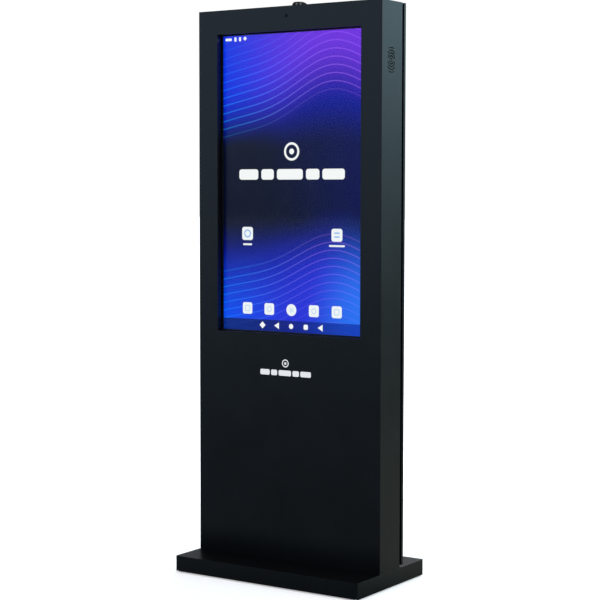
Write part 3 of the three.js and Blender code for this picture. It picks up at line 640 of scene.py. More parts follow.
def prism(axis, loops, h0, h1, rim=0.0, segments=2):
    """Extrudes a flat shape (outer loop, then holes) along an axis."""
    mesh = bmesh.new()
    frame_matrix = axis_frame(axis)
    triangles = tessellate_polygon([[Vector((u, v, 0)) for u, v in loop] for loop in loops])
    low, high = ([mesh.verts.new(frame_matrix @ Vector((u, v, height)))
                  for loop in loops for u, v in loop] for height in (h0, h1))
    for triangle in triangles:
        for side in (low, high):
            mesh.faces.new([side[k] for k in triangle])
    start = 0
    for loop in loops:
        end = start + len(loop)
        bridge(mesh, low[start:end], high[start:end])
        start = end
    bmesh.ops.recalc_face_normals(mesh, faces=mesh.faces)
    bmesh.ops.dissolve_limit(mesh, angle_limit=0.01, verts=mesh.verts, edges=mesh.edges)
    if rim > 0:
        sharp = [edge for edge in mesh.edges
                 if len(edge.link_faces) == 2 and edge.calc_face_angle(0) > 0.6]
        soften(mesh, sharp, rim, segments)
    return mesh


def round_rect(cu, cv, width, height, radius, steps):
    points = []
    for su, sv, start in ((1, 1, 0), (-1, 1, 90), (-1, -1, 180), (1, -1, 270)):
        for i in range(steps + 1):
            angle = math.radians(start + 90 * i / steps)
            points.append((cu + su * (width / 2 - radius) + radius * math.cos(angle),
                           cv + sv * (height / 2 - radius) + radius * math.sin(angle)))
    return points


def circle(cu, cv, radius, sides):
    return [(cu + radius * math.cos(2 * PI * k / sides),
             cv + radius * math.sin(2 * PI * k / sides)) for k in range(sides)]


def smooth_path(points, step):
    """Centripetal Catmull-Rom curve through the points, with about one point per step."""
    knots = [Vector(point) for point in points]
    knots = [knots[0] * 2 - knots[1]] + knots + [knots[-1] * 2 - knots[-2]]
    path = []
    for quad in zip(knots, knots[1:], knots[2:], knots[3:]):
        times = [0.0]
        for start, end in zip(quad, quad[1:]):
            times.append(times[-1] + max((end - start).length, 1e-6) ** 0.5)
        count = max(2, int((quad[2] - quad[1]).length / step))
        for i in range(count):
            now = times[1] + (times[2] - times[1]) * i / count

            def blend(first, second, start, end):
                return first.lerp(second, (now - times[start]) / (times[end] - times[start]))

            level = [blend(quad[k], quad[k + 1], k, k + 1) for k in range(3)]
            level = [blend(level[k], level[k + 1], k, k + 2) for k in range(2)]
            path.append(blend(*level, 1, 2))
    path.append(knots[-2])
    return path


def sweep(points, section, step, across=None):
    """Carries a closed (u, v) section along a smooth path; across sets its first u direction."""
    path = smooth_path(points, step)
    mesh = bmesh.new()
    side = across or (path[1] - path[0]).normalized().orthogonal().normalized()
    rows = []
    for i, point in enumerate(path):
        along = (path[min(i + 1, len(path) - 1)] - path[max(i - 1, 0)]).normalized()
        side = (side - along * side.dot(along)).normalized()
        other = along.cross(side)
        rows.append([mesh.verts.new(point + side * u + other * v) for u, v in section])
    for first, second in zip(rows, rows[1:]):
        bridge(mesh, first, second)
    mesh.faces.new(rows[0])
    mesh.faces.new(rows[-1])
    return mesh


def tube(points, radius, sides, step=12.0):
    return sweep(points, circle(0, 0, radius, sides), step)


def slab(mesh, top, bottom):
    """Closes two matching grids of vertices into a thin solid."""
    rows, columns = len(top), len(top[0])
    for i in range(rows - 1):
        for j in range(columns - 1):
            mesh.faces.new((top[i][j], top[i][j + 1], top[i + 1][j + 1], top[i + 1][j]))
            mesh.faces.new((bottom[i][j], bottom[i + 1][j],
                            bottom[i + 1][j + 1], bottom[i][j + 1]))
        mesh.faces.new((top[i][0], top[i + 1][0], bottom[i + 1][0], bottom[i][0]))
        mesh.faces.new((top[i][-1], bottom[i][-1], bottom[i + 1][-1], top[i + 1][-1]))
    for j in range(columns - 1):
        mesh.faces.new((top[0][j], bottom[0][j], bottom[0][j + 1], top[0][j + 1]))
        mesh.faces.new((top[-1][j], top[-1][j + 1], bottom[-1][j + 1], bottom[-1][j]))


def perforated(x0, x1, z0, z1, y0, y1, pitch, radius):
    """A sheet across Y with a grid of eight-sided holes."""
    columns, rows = (max(1, round(span / pitch)) for span in (x1 - x0, z1 - z0))
    pitch_x, pitch_z = (x1 - x0) / columns, (z1 - z0) / rows
    mesh = bmesh.new()
    known = {}

    def vert(x, z, y):
        key = (round(x, 3), round(z, 3), round(y, 3))
        if key not in known:
            known[key] = mesh.verts.new((x, y, z))
        return known[key]

    def wall(start, end):
        mesh.faces.new([vert(*start, y0), vert(*end, y0), vert(*end, y1), vert(*start, y1)])

    around = [(1, 0), (1, 1), (0, 1), (-1, 1), (-1, 0), (-1, -1), (0, -1), (1, -1)]
    for i in range(columns):
        for j in range(rows):
            cx, cz = x0 + (i + .5) * pitch_x, z0 + (j + .5) * pitch_z
            outer = [(cx + u * pitch_x / 2, cz + v * pitch_z / 2) for u, v in around]
            inner = circle(cx, cz, radius, 8)
            for k in range(8):
                after = (k + 1) % 8
                for y in (y0, y1):
                    mesh.faces.new([vert(*point, y) for point in (
                        outer[k], outer[after], inner[after], inner[k])])
                wall(inner[k], inner[after])
    rim = [(x0 + i * pitch_x / 2, z0) for i in range(2 * columns)]
    rim += [(x1, z0 + j * pitch_z / 2) for j in range(2 * rows)]
    rim += [(x1 - i * pitch_x / 2, z1) for i in range(2 * columns)]
    rim += [(x0, z1 - j * pitch_z / 2) for j in range(2 * rows)]
    for start, end in zip(rim, rim[1:] + rim[:1]):
        wall(start, end)
    return mesh


def hex_nut(axis, centre, h0, h1, radius, hole=0.0, sides=24):
    def hexagon(row, angle, reach):
        flat = (angle % (PI / 3)) - PI / 6
        full = radius * math.cos(PI / 6) / math.cos(flat)
        return min(full, reach) if reach > hole + 0.01 else reach

    edge = min(0.5, abs(h1 - h0) * .15) * (1 if h1 > h0 else -1)
    profile = [(hole, h0), (radius * .93, h0), (radius, h0 + edge),
               (radius, h1 - edge), (radius * .93, h1), (hole, h1)]
    return lathe(axis, centre, profile, sides, hexagon)


class Piece:
    """Collects closed shapes into one object with several materials."""

    def __init__(self):
        self.mesh, self.materials = bmesh.new(), []

    def add(self, material_name, shape, move=None):
        if move is not None:
            bmesh.ops.transform(shape, matrix=move, verts=shape.verts)
        bmesh.ops.recalc_face_normals(shape, faces=shape.faces)
        if material_name not in self.materials:
            self.materials.append(material_name)
        for face in shape.faces:
            face.material_index = self.materials.index(material_name)
        data = bpy.data.meshes.new("part")
        shape.to_mesh(data)
        shape.free()
        self.mesh.from_mesh(data)
        bpy.data.meshes.remove(data)

    def box(self, material_name, *span, **rim):
        self.add(material_name, box(*span, **rim))

    def block(self, material_name, cx, cz, width, height, y0, y1, rim, segments=2):
        """A box placed by its middle in x and z."""
        self.add(material_name, box(cx - width / 2, cx + width / 2, y0, y1,
                                    cz - height / 2, cz + height / 2, rim, segments))

    def screw(self, centre, seat, radius, height, facing=1, axis="y"):
        """A cross-recessed pan head that stands on its seat."""
        def recess(row, angle, reach):
            if row not in (6, 7):
                return reach
            off = abs(((angle + PI / 4) % (PI / 2)) - PI / 4)
            return min(reach, reach * 0.26 / max(math.sin(off), 1e-3))

        rise, bore = facing * height, radius * 0.62
        profile = [(0, seat), (radius, seat), (radius, seat + rise * .45),
                   (radius * .93, seat + rise * .72), (radius * .78, seat + rise * .92),
                   (radius * .66, seat + rise), (bore, seat + rise),
                   (bore * .9, seat + rise * .45), (0, seat + rise * .45)]
        self.add("fastener_zinc", lathe(axis, centre, profile, 32, recess))

    def done(self, name, body, replaces=()):
        data = bpy.data.meshes.new(name)
        self.mesh.to_mesh(data)
        self.mesh.free()
        data.transform(Matrix.Scale(0.001, 4))
        for material_name in self.materials:
            data.materials.append(MATERIALS[material_name])
        data.shade_smooth()
        data.set_sharp_from_angle(angle=math.radians(50))
        obj = bpy.data.objects.new(name, data)
        scene.collection.objects.link(obj)
        weight = obj.modifiers.new("weight", "WEIGHTED_NORMAL")
        weight.keep_sharp, weight.weight = True, 95
        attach(obj, body)
        if replaces:
            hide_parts(*replaces)
        return obj


# ---------------------------------------------------------------- CAD parts
def finish_group():
    """Node group that shades smooth, except over edges above 50 degrees."""
    group = bpy.data.node_groups.new("smooth_finish", "GeometryNodeTree")
    for direction in ("INPUT", "OUTPUT"):
        group.interface.new_socket("Geometry", in_out=direction,
                                   socket_type="NodeSocketGeometry")
    kinds = ("NodeGroupInput", "NodeGroupOutput", "GeometryNodeSetShadeSmooth",
             "GeometryNodeSetShadeSmooth", "GeometryNodeInputMeshEdgeAngle",
             "FunctionNodeCompare")
    start, end, faces, edges, angle, compare = (group.nodes.new(kind) for kind in kinds)
    faces.domain, edges.domain = "FACE", "EDGE"
    faces.inputs["Shade Smooth"].default_value = True
    compare.data_type, compare.operation = "FLOAT", "LESS_THAN"
    compare.inputs[1].default_value = math.radians(50)
    for output, socket in ((angle.outputs[0], compare.inputs[0]),
                           (start.outputs[0], faces.inputs["Geometry"]),
                           (faces.outputs[0], edges.inputs["Geometry"]),
                           (compare.outputs[0], edges.inputs["Shade Smooth"]),
                           (edges.outputs[0], end.inputs[0])):
        group.links.new(output, socket)
    return group


def rim_bevel(obj, width, angle):
    """Rounds the sharp edges; width in millimetres, angle in degrees."""
    bevel = obj.modifiers.new("rim", "BEVEL")
    bevel.width, bevel.segments = width * 0.001, 2
    bevel.limit_method, bevel.angle_limit = "ANGLE", math.radians(angle)
    bevel.face_strength_mode = "FSTR_ALL"
    return bevel


def dress(obj, look, rim, finish):
    """Gives a CAD part its material, rounded rims and smooth shading."""
    data = obj.data
    if "custom_normal" in data.attributes:
        data.attributes.remove(data.attributes["custom_normal"])
    data.materials.clear()
    data.materials.append(look)
    obj.modifiers.new("join", "WELD").merge_threshold = 2e-5
    if rim:
        flat = obj.modifiers.new("flat", "DECIMATE")
        flat.decimate_type, flat.angle_limit = "DISSOLVE", 0.004
    obj.modifiers.new("shade", "NODES").node_group = finish
    if rim:
        bevel = rim_bevel(obj, rim, angle=38)
        bevel.use_clamp_overlap, bevel.harden_normals = True, False
    weight = obj.modifiers.new("weight", "WEIGHTED_NORMAL")
    weight.keep_sharp, weight.weight, weight.use_face_influence = True, 100, bool(rim)


# rim widths that differ from the usual one, in millimetres
RIM = 0.4
RIMS = {"front_shell": 0.45, "base_plinth": 0.7, "rear_door": 0.45, "antenna_housing": 0.9,
        "lcd_cell": 0.0, "camera_window": 0.15, "cam_lock_upper_plug": 0.25,
        "cam_lock_lower_plug": 0.25, "power_inlet": 0.35, "switch_housing": 0.3,
        "network_socket": 0.3, "display_cable": 0.0, "hinge_upper_pin": 0.3,
        "hinge_lower_pin": 0.3}


def dress_all():
    finish = finish_group()
    looks = {part["node"]: part["material_slot"] for part in frame["record"]["subparts"]}
    looks["antenna_housing"] = "antenna_plastic"
    for name in frame["nodes"]:
        dress(frame["nodes"][name], MATERIALS[looks[name]], RIMS.get(name, RIM), finish)


dress_all()


# ---------------------------------------------------------------- front and roof
def front_mark():
    """White vinyl mark on the lower front: a dot in a ring over a row of bars."""
    part = Piece()
    cx, ring_z, bar_z = -5.5, 686.0, 655.0
    scale = 0.482                        # size against the same bars on the screen
    shapes = [[circle(cx, ring_z, 12.6, 40), circle(cx, ring_z, 9.3, 40)],
              [circle(cx, ring_z, 4.3, 28)]]
    shapes += [[round_rect(x * scale - 4.0, bar_z, width * scale, 17.5, 4.3, 6)]
               for x, width in MARK_BARS]
    for loops in shapes:
        part.add("white_vinyl", prism("y", loops, SHELL_FRONT - 0.22, SHELL_FRONT - 0.02, 0.05, 1))
    part.done("front_mark", "cabinet")


def camera_parts():
    """Lens, screws and lead behind the camera window."""
    cx, cz = CAMERA_X, CAMERA_Z
    part = Piece()
    part.add("black_plastic", lathe("y", (cx, cz), [
        (2.4, -67.6), (5.6, -67.6), (5.9, -67.3), (5.9, -66.6), (4.9, -66.0), (2.4, -66.4)], 40))
    part.add("lens_glass", lathe("y", (cx, cz), [
        (0, -67.2), (1.2, -67.15), (2.1, -66.9), (2.35, -66.55), (0, -66.55)]))
    part.done("camera_lens", "cabinet")
    part = Piece()
    for side in (-1, 1):
        for dz in (11, -11):
            part.screw((cx + side * 19, cz + dz), -59.0, 1.6, 1.0, facing=-1)
    part.box("chip_epoxy", cx + 8, cx + 15, -58.9, -58.5, cz - 13, cz - 6, rim=0.1)
    part.add("cable_black", tube([
        (cx - 13, -51, cz - 8.5), (cx - 13, -44, cz - 9), (cx + 10, -24, 1740),
        (60, -12, 1700), (62, -6, 1560), (60, 4, 1500), (60, 12, 1340), (60, 16, 1323)], 1.3, 10))
    part.done("camera_lead", "cabinet")


def antenna_parts():
    """Seal under the round roof antenna and two pale grey patches in its wall."""
    part = Piece()
    part.add("black_rubber", prism("z", [circle(0, 0, 25.7, 64), circle(0, 0, 24.2, 64)],
                                   ROOF_Z + 0.02, ROOF_Z + 0.7, 0.25))
    part.done("antenna_seal", "cabinet")
    part = Piece()
    # two pale grey patches set into the dark antenna wall
    for angle in (-82, -50):
        part.add("window_polycarbonate", box(21.9, 23.35, -2.1, 2.1, 1810.7, 1816.7, 0.35, 3),
                 Matrix.Rotation(math.radians(angle), 4, "Z"))
    part.done("antenna_pale_patches", "cabinet")


# ---------------------------------------------------------------- speakers and fans
def speaker(name):
    side = SIDES[name]
    centre = (SPEAKER_Y, SPEAKER_Z)
    oval = (Matrix.Translation((0, *centre)) @ Matrix.Diagonal((1, 1, 1.82, 1))
            @ Matrix.Translation((0, -centre[0], -centre[1])))

    def inward(depth):
        """x at a depth inside the cabinet wall."""
        return side * (342.2 - depth)

    def sheet(front, thickness):
        """Closes a profile with an inner copy of itself."""
        return front + [(radius, x - side * thickness) for radius, x in reversed(front)]

    part = Piece()
    # pressed cone with concentric ribs
    cone = []
    for i in range(13):
        part_way = i / 12
        ribs = 0.18 * math.sin(part_way * 24)
        cone.append((5.2 + 9.0 * part_way, inward(11.6 - 9.0 * part_way ** 0.8 + ribs)))
    part.add("paper_cone", lathe("x", centre, sheet(cone, 0.5), 48), oval)
    # half-roll surround
    roll = [(14.0 + 1.75 * (1 - math.cos(PI * i / 10)),
             inward(2.9 - 1.6 * math.sin(PI * i / 10))) for i in range(11)]
    part.add("black_rubber", lathe("x", centre, sheet(roll, 0.45), 48), oval)
    dome = [(0, inward(6.2))]
    dome += [(5.6 * math.sin(PI / 2 * i / 8),
              inward(6.2 + 3.6 * (1 - math.cos(PI / 2 * i / 8)))) for i in range(1, 9)]
    dome += [(5.2, inward(10.4)), (0, inward(10.4))]
    part.add("paper_cone", lathe("x", centre, dome, 40), oval)
    part.done(f"speaker_{name}_cone", "cabinet")

    part = Piece()
    # magnet plate and ring: (radius, depth)
    plate = [(0, 30.2), (7, 30.2), (7.4, 30.6), (14.6, 30.6), (15.4, 30.2), (15.4, 29.9),
             (0, 29.9)]
    magnet = [(16.02, 28.2), (16.5, 28.0), (16.5, 22.2), (16.02, 22.0)]
    for look, profile in (("zinc_steel", plate), ("ferrite", magnet)):
        part.add(look, lathe("x", centre, [(r, inward(depth)) for r, depth in profile], 40))
    for dy, dz in ((-19, -37), (19, -37), (-19, 37), (19, 37)):
        part.screw((centre[0] + dy, centre[1] + dz), inward(1.6), 2.4, 1.5,
                   facing=-side, axis="x")
    plug_x = 75 if side > 0 else -70
    for k, wire in ((-3, "wire_red"), (3, "wire_black")):
        part.box("gold_contact", *sorted((inward(17), inward(12))),
                 1.0 + k * .6, 2.4 + k * .6, 1608, 1613, rim=0.15)
        part.add(wire, tube([
            (inward(15), 1.8 + k * .6, 1608), (inward(20), 4, 1596),
            (side * 300, 10 + k * .3, 1560), (side * 150, 8 + k * .3, 1530),
            (side * 78, 11 + k * .3, 1470), (plug_x + k, 12.6, 1409)], 0.95, 9))
    part.done(f"speaker_{name}_fittings", "cabinet")


def fan_blades(cx, cz, inner=19.6, outer=55.4):
    """Seven swept, cambered blades."""
    mesh = bmesh.new()
    rows, columns = 9, 8
    for blade in range(7):
        grids = [], []                   # one grid for each face of the blade
        for i in range(rows):
            out = i / (rows - 1)
            radius = inner + (outer - inner) * out
            half_arc = math.radians(21.5 + 1.0 * math.sin(out * PI))
            lean = math.radians(13) * out ** 1.4
            depth = 16.6 - 4.0 * out
            for grid in grids:
                grid.append([])
            for j in range(columns):
                chord = j / (columns - 1) * 2 - 1
                angle = blade * 2 * PI / 7 + lean + chord * half_arc
                y = 49.2 + chord * depth / 2 + 1.5 * (1 - chord * chord)
                half = 0.75 * (1 - 0.55 * abs(chord) ** 3)
                for grid, offset in zip(grids, (-half, half)):
                    grid[-1].append(mesh.verts.new((cx + radius * math.cos(angle), y + offset,
                                                    cz + radius * math.sin(angle))))
        slab(mesh, *grids)
    return mesh


def fan(name):
    side = SIDES[name]
    cx, cz = side * FAN_X, FAN_Z
    part = Piece()
    part.add("black_plastic", lathe("y", (cx, cz), [
        (0, 38.8), (16.5, 38.8), (19.0, 39.3), (19.9, 40.6), (20.0, 42.5), (20.0, 56.6),
        (19.4, 58.2), (18.0, 59.0), (12.0, 59.0), (11.2, 58.7), (0, 58.7)], 48))
    part.add("black_plastic", fan_blades(cx, cz))
    part.done(f"fan_{name}_impeller", f"{name}_fan_rotor",
              [f"fan_{name}_rotor"])
    # fixed hub label, screws and leads
    part = Piece()
    part.add("plain_label", lathe("y", (cx, cz), [
        (0, 35.0), (17.2, 35.0), (17.4, 35.08), (17.4, 35.19), (0, 35.19)], 40))
    for dx, dz in ((-52.5, -52.5), (52.5, -52.5), (-52.5, 52.5), (52.5, 52.5)):
        part.screw((cx + dx, cz + dz), 62.05, 3.9, 2.0)
    for gap, wire in ((-1.3, "wire_red"), (1.3, "wire_black")):
        plug_x = 52 + side * 6 + gap
        part.add(wire, tube([
            (cx - side * 15, 36.2, cz - 15 + gap), (cx - side * 31, 36.1, cz - 31 + gap),
            (cx - side * 50, 34.5, cz - 52), (cx - side * 62 + gap, 30, cz - 90),
            (60 + side * 8 + gap, 22, 1500), (plug_x, 16, 1425), (plug_x, 13, 1411)], 0.9, 9))
    part.done(f"fan_{name}_fittings", "cabinet")


front_mark()
camera_parts()
antenna_parts()
for side_name in SIDES:
    speaker(side_name)
for side_name in SIDES:
    fan(side_name)


# ---------------------------------------------------------------- power supply
def power_supply():
    x0, x1, z0, z1 = -195.0, -85.0, 1020.0, 1235.0
    step_z = 1043.0                      # the low end with the terminals lies below this
    part = Piece()
    part.box("heatsink_alu", x0, x1, 0.6, 1.8, z0, z1, rim=0.4)
    for top, low, high in ((37.3, z0 + 22, z1), (18.6, z0, z0 + 23)):
        for left in (x0, x1 - 1.2):
            part.box("heatsink_alu", left, left + 1.2, 0.7, top, low, high, rim=0.3)
    part.add("zinc_steel", perforated(x0 + 6, x1 - 6, 1062, 1229, 37.4, 38.55, 6.4, 2.15))
    for left, right, low, high in (
            (x0, x0 + 6, step_z, z1), (x1 - 6, x1, step_z, z1),
            (x0 + 5.9, x1 - 5.9, step_z, 1062.1), (x0 + 5.9, x1 - 5.9, 1228.9, z1)):
        part.box("zinc_steel", left, right, 37.4, 38.6, low, high, rim=0.25)
    part.box("zinc_steel", x0 + 1.2, x1 - 1.2, 2.0, 38.5, z1 - 1.2, z1, rim=0.3)
    part.box("zinc_steel", x0 + 1.2, x1 - 1.2, 20, 37.3, step_z, step_z + 1.2, rim=0.2)

    # board and large parts under the perforated lid
    board = 6.7
    part.box("circuit_board", x0 + 3, x1 - 3, 5.2, 6.8, z0 + 6, z1 - 4, rim=0.2)
    for cx, cz, width, height, depth, look in (
            (-168, 1085, 34, 40, 24, "wire_yellow"), (-120, 1090, 26, 34, 22, "ferrite"),
            (-172, 1150, 22, 60, 27, "heatsink_alu"), (-106, 1150, 16, 66, 27, "heatsink_alu"),
            (-140, 1205, 30, 28, 20, "chip_epoxy")):
        part.block(look, cx, cz, width, height, board, board + depth, 1.2)
    for cx, cz, radius, depth in ((-143, 1130, 10, 25), (-143, 1155, 10, 25),
                                  (-125, 1190, 7, 20), (-165, 1215, 6, 18)):
        part.add("cap_sleeve", lathe("y", (cx, cz), [
            (0, board), (radius - .3, board), (radius, 7.2), (radius, 6.2 + depth),
            (radius - .6, board + depth), (radius - 1.2, 6.5 + depth), (0, 6.5 + depth)], 24))

    # terminal strip: barriers, clamps, screws and wires
    part.box("chip_epoxy", -182, -98, 6.9, 19, 1024, 1040, rim=0.5)
    wires = ("wire_brown", "wire_blue", "wire_earth", None, None, "wire_black", "wire_red")
    first_x, pitch = -181.3, 82.6 / len(wires)
    for i in range(len(wires) + 1):
        part.block("chip_epoxy", first_x + i * pitch, 1031.75, 1.4, 14.5, 18.5, 32, 0.3)
    for i, wire in enumerate(wires):
        x = first_x + (i + .5) * pitch
        part.block("fastener_zinc", x, 1032, 8, 11, 18.9, 20.1, 0.2)
        part.screw((x, 1032), 20.1, 3.3, 2.2)
        if not wire:
            continue
        if i < 3:                        # into the mains lead
            path = [(x, 22.2, 1031), (x, 23, 1024), (x * .55 - 138 * .45, 27, 1010),
                    (-138 + (i - 1) * 2.1, 29, 998), (-137.5 + (i - 1) * 1.6, 29, 986)]
        else:                            # up to the driver board
            path = [(x, 22.2, 1031), (x, 23.5, 1022), (x + 6, 25, 1014), (-74, 22, 1022),
                    (-72 + i, 18, 1120), (-76 + i * .5, 16, 1260), (-76 + i, 16, 1293.5)]
        part.add(wire, tube(path, 1.25, 10))
    part.add("green_led", lathe("y", (-92, 1032), [
        (0, board), (2.6, board), (2.8, 7.0), (2.8, 11.5), (2.2, 12.0), (0, 12.0)], 20))
    for cx in (x0 + 3, x1 - 3):
        for cz in (1052, 1222):
            part.screw((cx, cz), 38.6, 2.2, 1.2)
    part.done("power_supply_unit", "cabinet", ["power_supply"])


# ---------------------------------------------------------------- media player
def media_player():
    x0, x1, z0, z1 = -30.0, 170.0, 1050.0, 1180.0
    black = "black_anodised"
    part = Piece()
    part.add(black, prism("y", [round_rect(70, 1115, 200, 130, 4, 6)], 0.62, 21.5, 0.8, 3))
    for i in range(24):                  # cooling fins
        x = x0 + 8 + i * (184 / 23)
        part.box(black, x - 1.1, x + 1.1, 21.2, 31.3, z0 + 5, z1 - 5, rim=0.5)
    part.box(black, x0 + 4, x1 - 4, 21.0, 23.2, z0 + 4, z1 - 4, rim=0.6)

    # sockets along the lower edge: middle x and y, width, depth, shell
    for cx, cy, width, depth, shell in (
            (8, 14, 13.5, 4.6, "port_nickel"), (38, 14, 13.5, 4.6, "port_nickel"),
            (94, 10, 12.6, 5.0, "port_nickel"), (94, 17, 12.6, 5.0, "port_nickel"),
            (112, 10, 12.6, 5.0, "port_nickel"), (112, 17, 12.6, 5.0, "port_nickel"),
            (145, 14, 8, 8, "chip_epoxy")):
        part.add(shell, prism("z", [round_rect(cx, cy, width + 1.6, depth + 1.6, 0.9, 3),
                                    round_rect(cx, cy, width, depth, 0.5, 3)],
                              z0 - 0.9, z0 + 1.5, 0.12, 1))
        # painted shade: a near-black cap fills the socket mouth in place of its dark depth
        part.box("dark_inside", cx - width / 2, cx + width / 2, cy - depth / 2, cy + depth / 2,
                 z0 - 0.02, z0 + 0.6, rim=0.1)
        part.box("chip_epoxy", cx - width * .38, cx + width * .38, cy - .5, cy + .5,
                 z0 - 0.55, z0 + 0.4, rim=0.1)

    # network plug and boot
    part.add("port_nickel", prism("z", [round_rect(70, 16, 15.6, 13.2, 0.8, 3)],
                                  z0 - 1.0, z0 + 1.2, 0.15, 1))
    part.add("white_nylon", prism("z", [round_rect(70, 16, 11.6, 8.2, 1.0, 3)],
                                  z0 - 9, z0 - 0.8, 0.3))
    part.add("cable_blue", lathe("z", (70, 16), [
        (0, z0 - 24), (3.6, z0 - 24), (4.2, z0 - 22), (5.6, z0 - 10), (5.6, z0 - 8.6),
        (0, z0 - 8.6)], 24))
    # antenna connector, power button and light on the upper edge
    part.add("gold_contact", hex_nut("z", (106, 16), z1 + 0.1, z1 + 5.5, 4.6))
    part.add("black_rubber", lathe("z", (106, 16), [
        (0, z1 + 5.4), (2.4, z1 + 5.4), (2.4, z1 + 12), (1.9, z1 + 12.8), (0, z1 + 12.8)], 20))
    part.add("port_nickel", lathe("z", (150, 13), [
        (0, z1), (4.6, z1), (4.6, z1 + 0.9), (4.1, z1 + 1.2), (3.4, z1 + 1.1),
        (0, z1 + 0.9)], 28))
    part.add("green_led", lathe("z", (134, 13), [
        (0, z1), (1.1, z1), (1.1, z1 + 0.5), (0.7, z1 + 0.8), (0, z1 + 0.85)], 16))
    # fixing ears
    for x, left, right in ((x0 - 9, -7, 11), (x1 + 9, -11, 7)):
        for z in (z0 + 25, z1 - 25):
            part.box(black, x + left, x + right, 0.62, 2.2, z - 9, z + 9, rim=0.5)
            part.screw((x, z), 2.2, 3.4, 2.0)
    part.done("media_player_unit", "cabinet", ["media_player"])


# ---------------------------------------------------------------- driver board
BOARD_FACE = 9.6                         # y of the component side

# electrolytic capacitors: x, z, radius, height
CAPACITORS = ((-71, 1349, 8.4, 18), (-71, 1368, 8.4, 18), (-71, 1384, 5.2, 12),
              (-48, 1384, 4.2, 10), (34, 1376, 5.0, 12), (46, 1376, 5.0, 12),
              (74, 1352, 6.2, 14))

# areas free of small parts: x, half width, z, half height
KEEP_CLEAR = ((-10, 23, 1350, 23), (-65, 18, 1303, 11), (15, 27, 1402, 8), (60, 22, 1311, 13),
              (-71, 11, 1366, 30), (-44, 9, 1326, 18), (36, 9, 1340, 9), (30, 8, 1355, 10),
              (58, 10, 1366, 8), (40, 13, 1376, 7), (56, 7, 1344, 7), (-48, 6, 1384, 6),
              (74, 8, 1352, 8), (-10, 9, 1312, 7), (20, 8, 1318, 7), (-36, 4, 1360, 13),
              (-20, 6, 1386, 6))


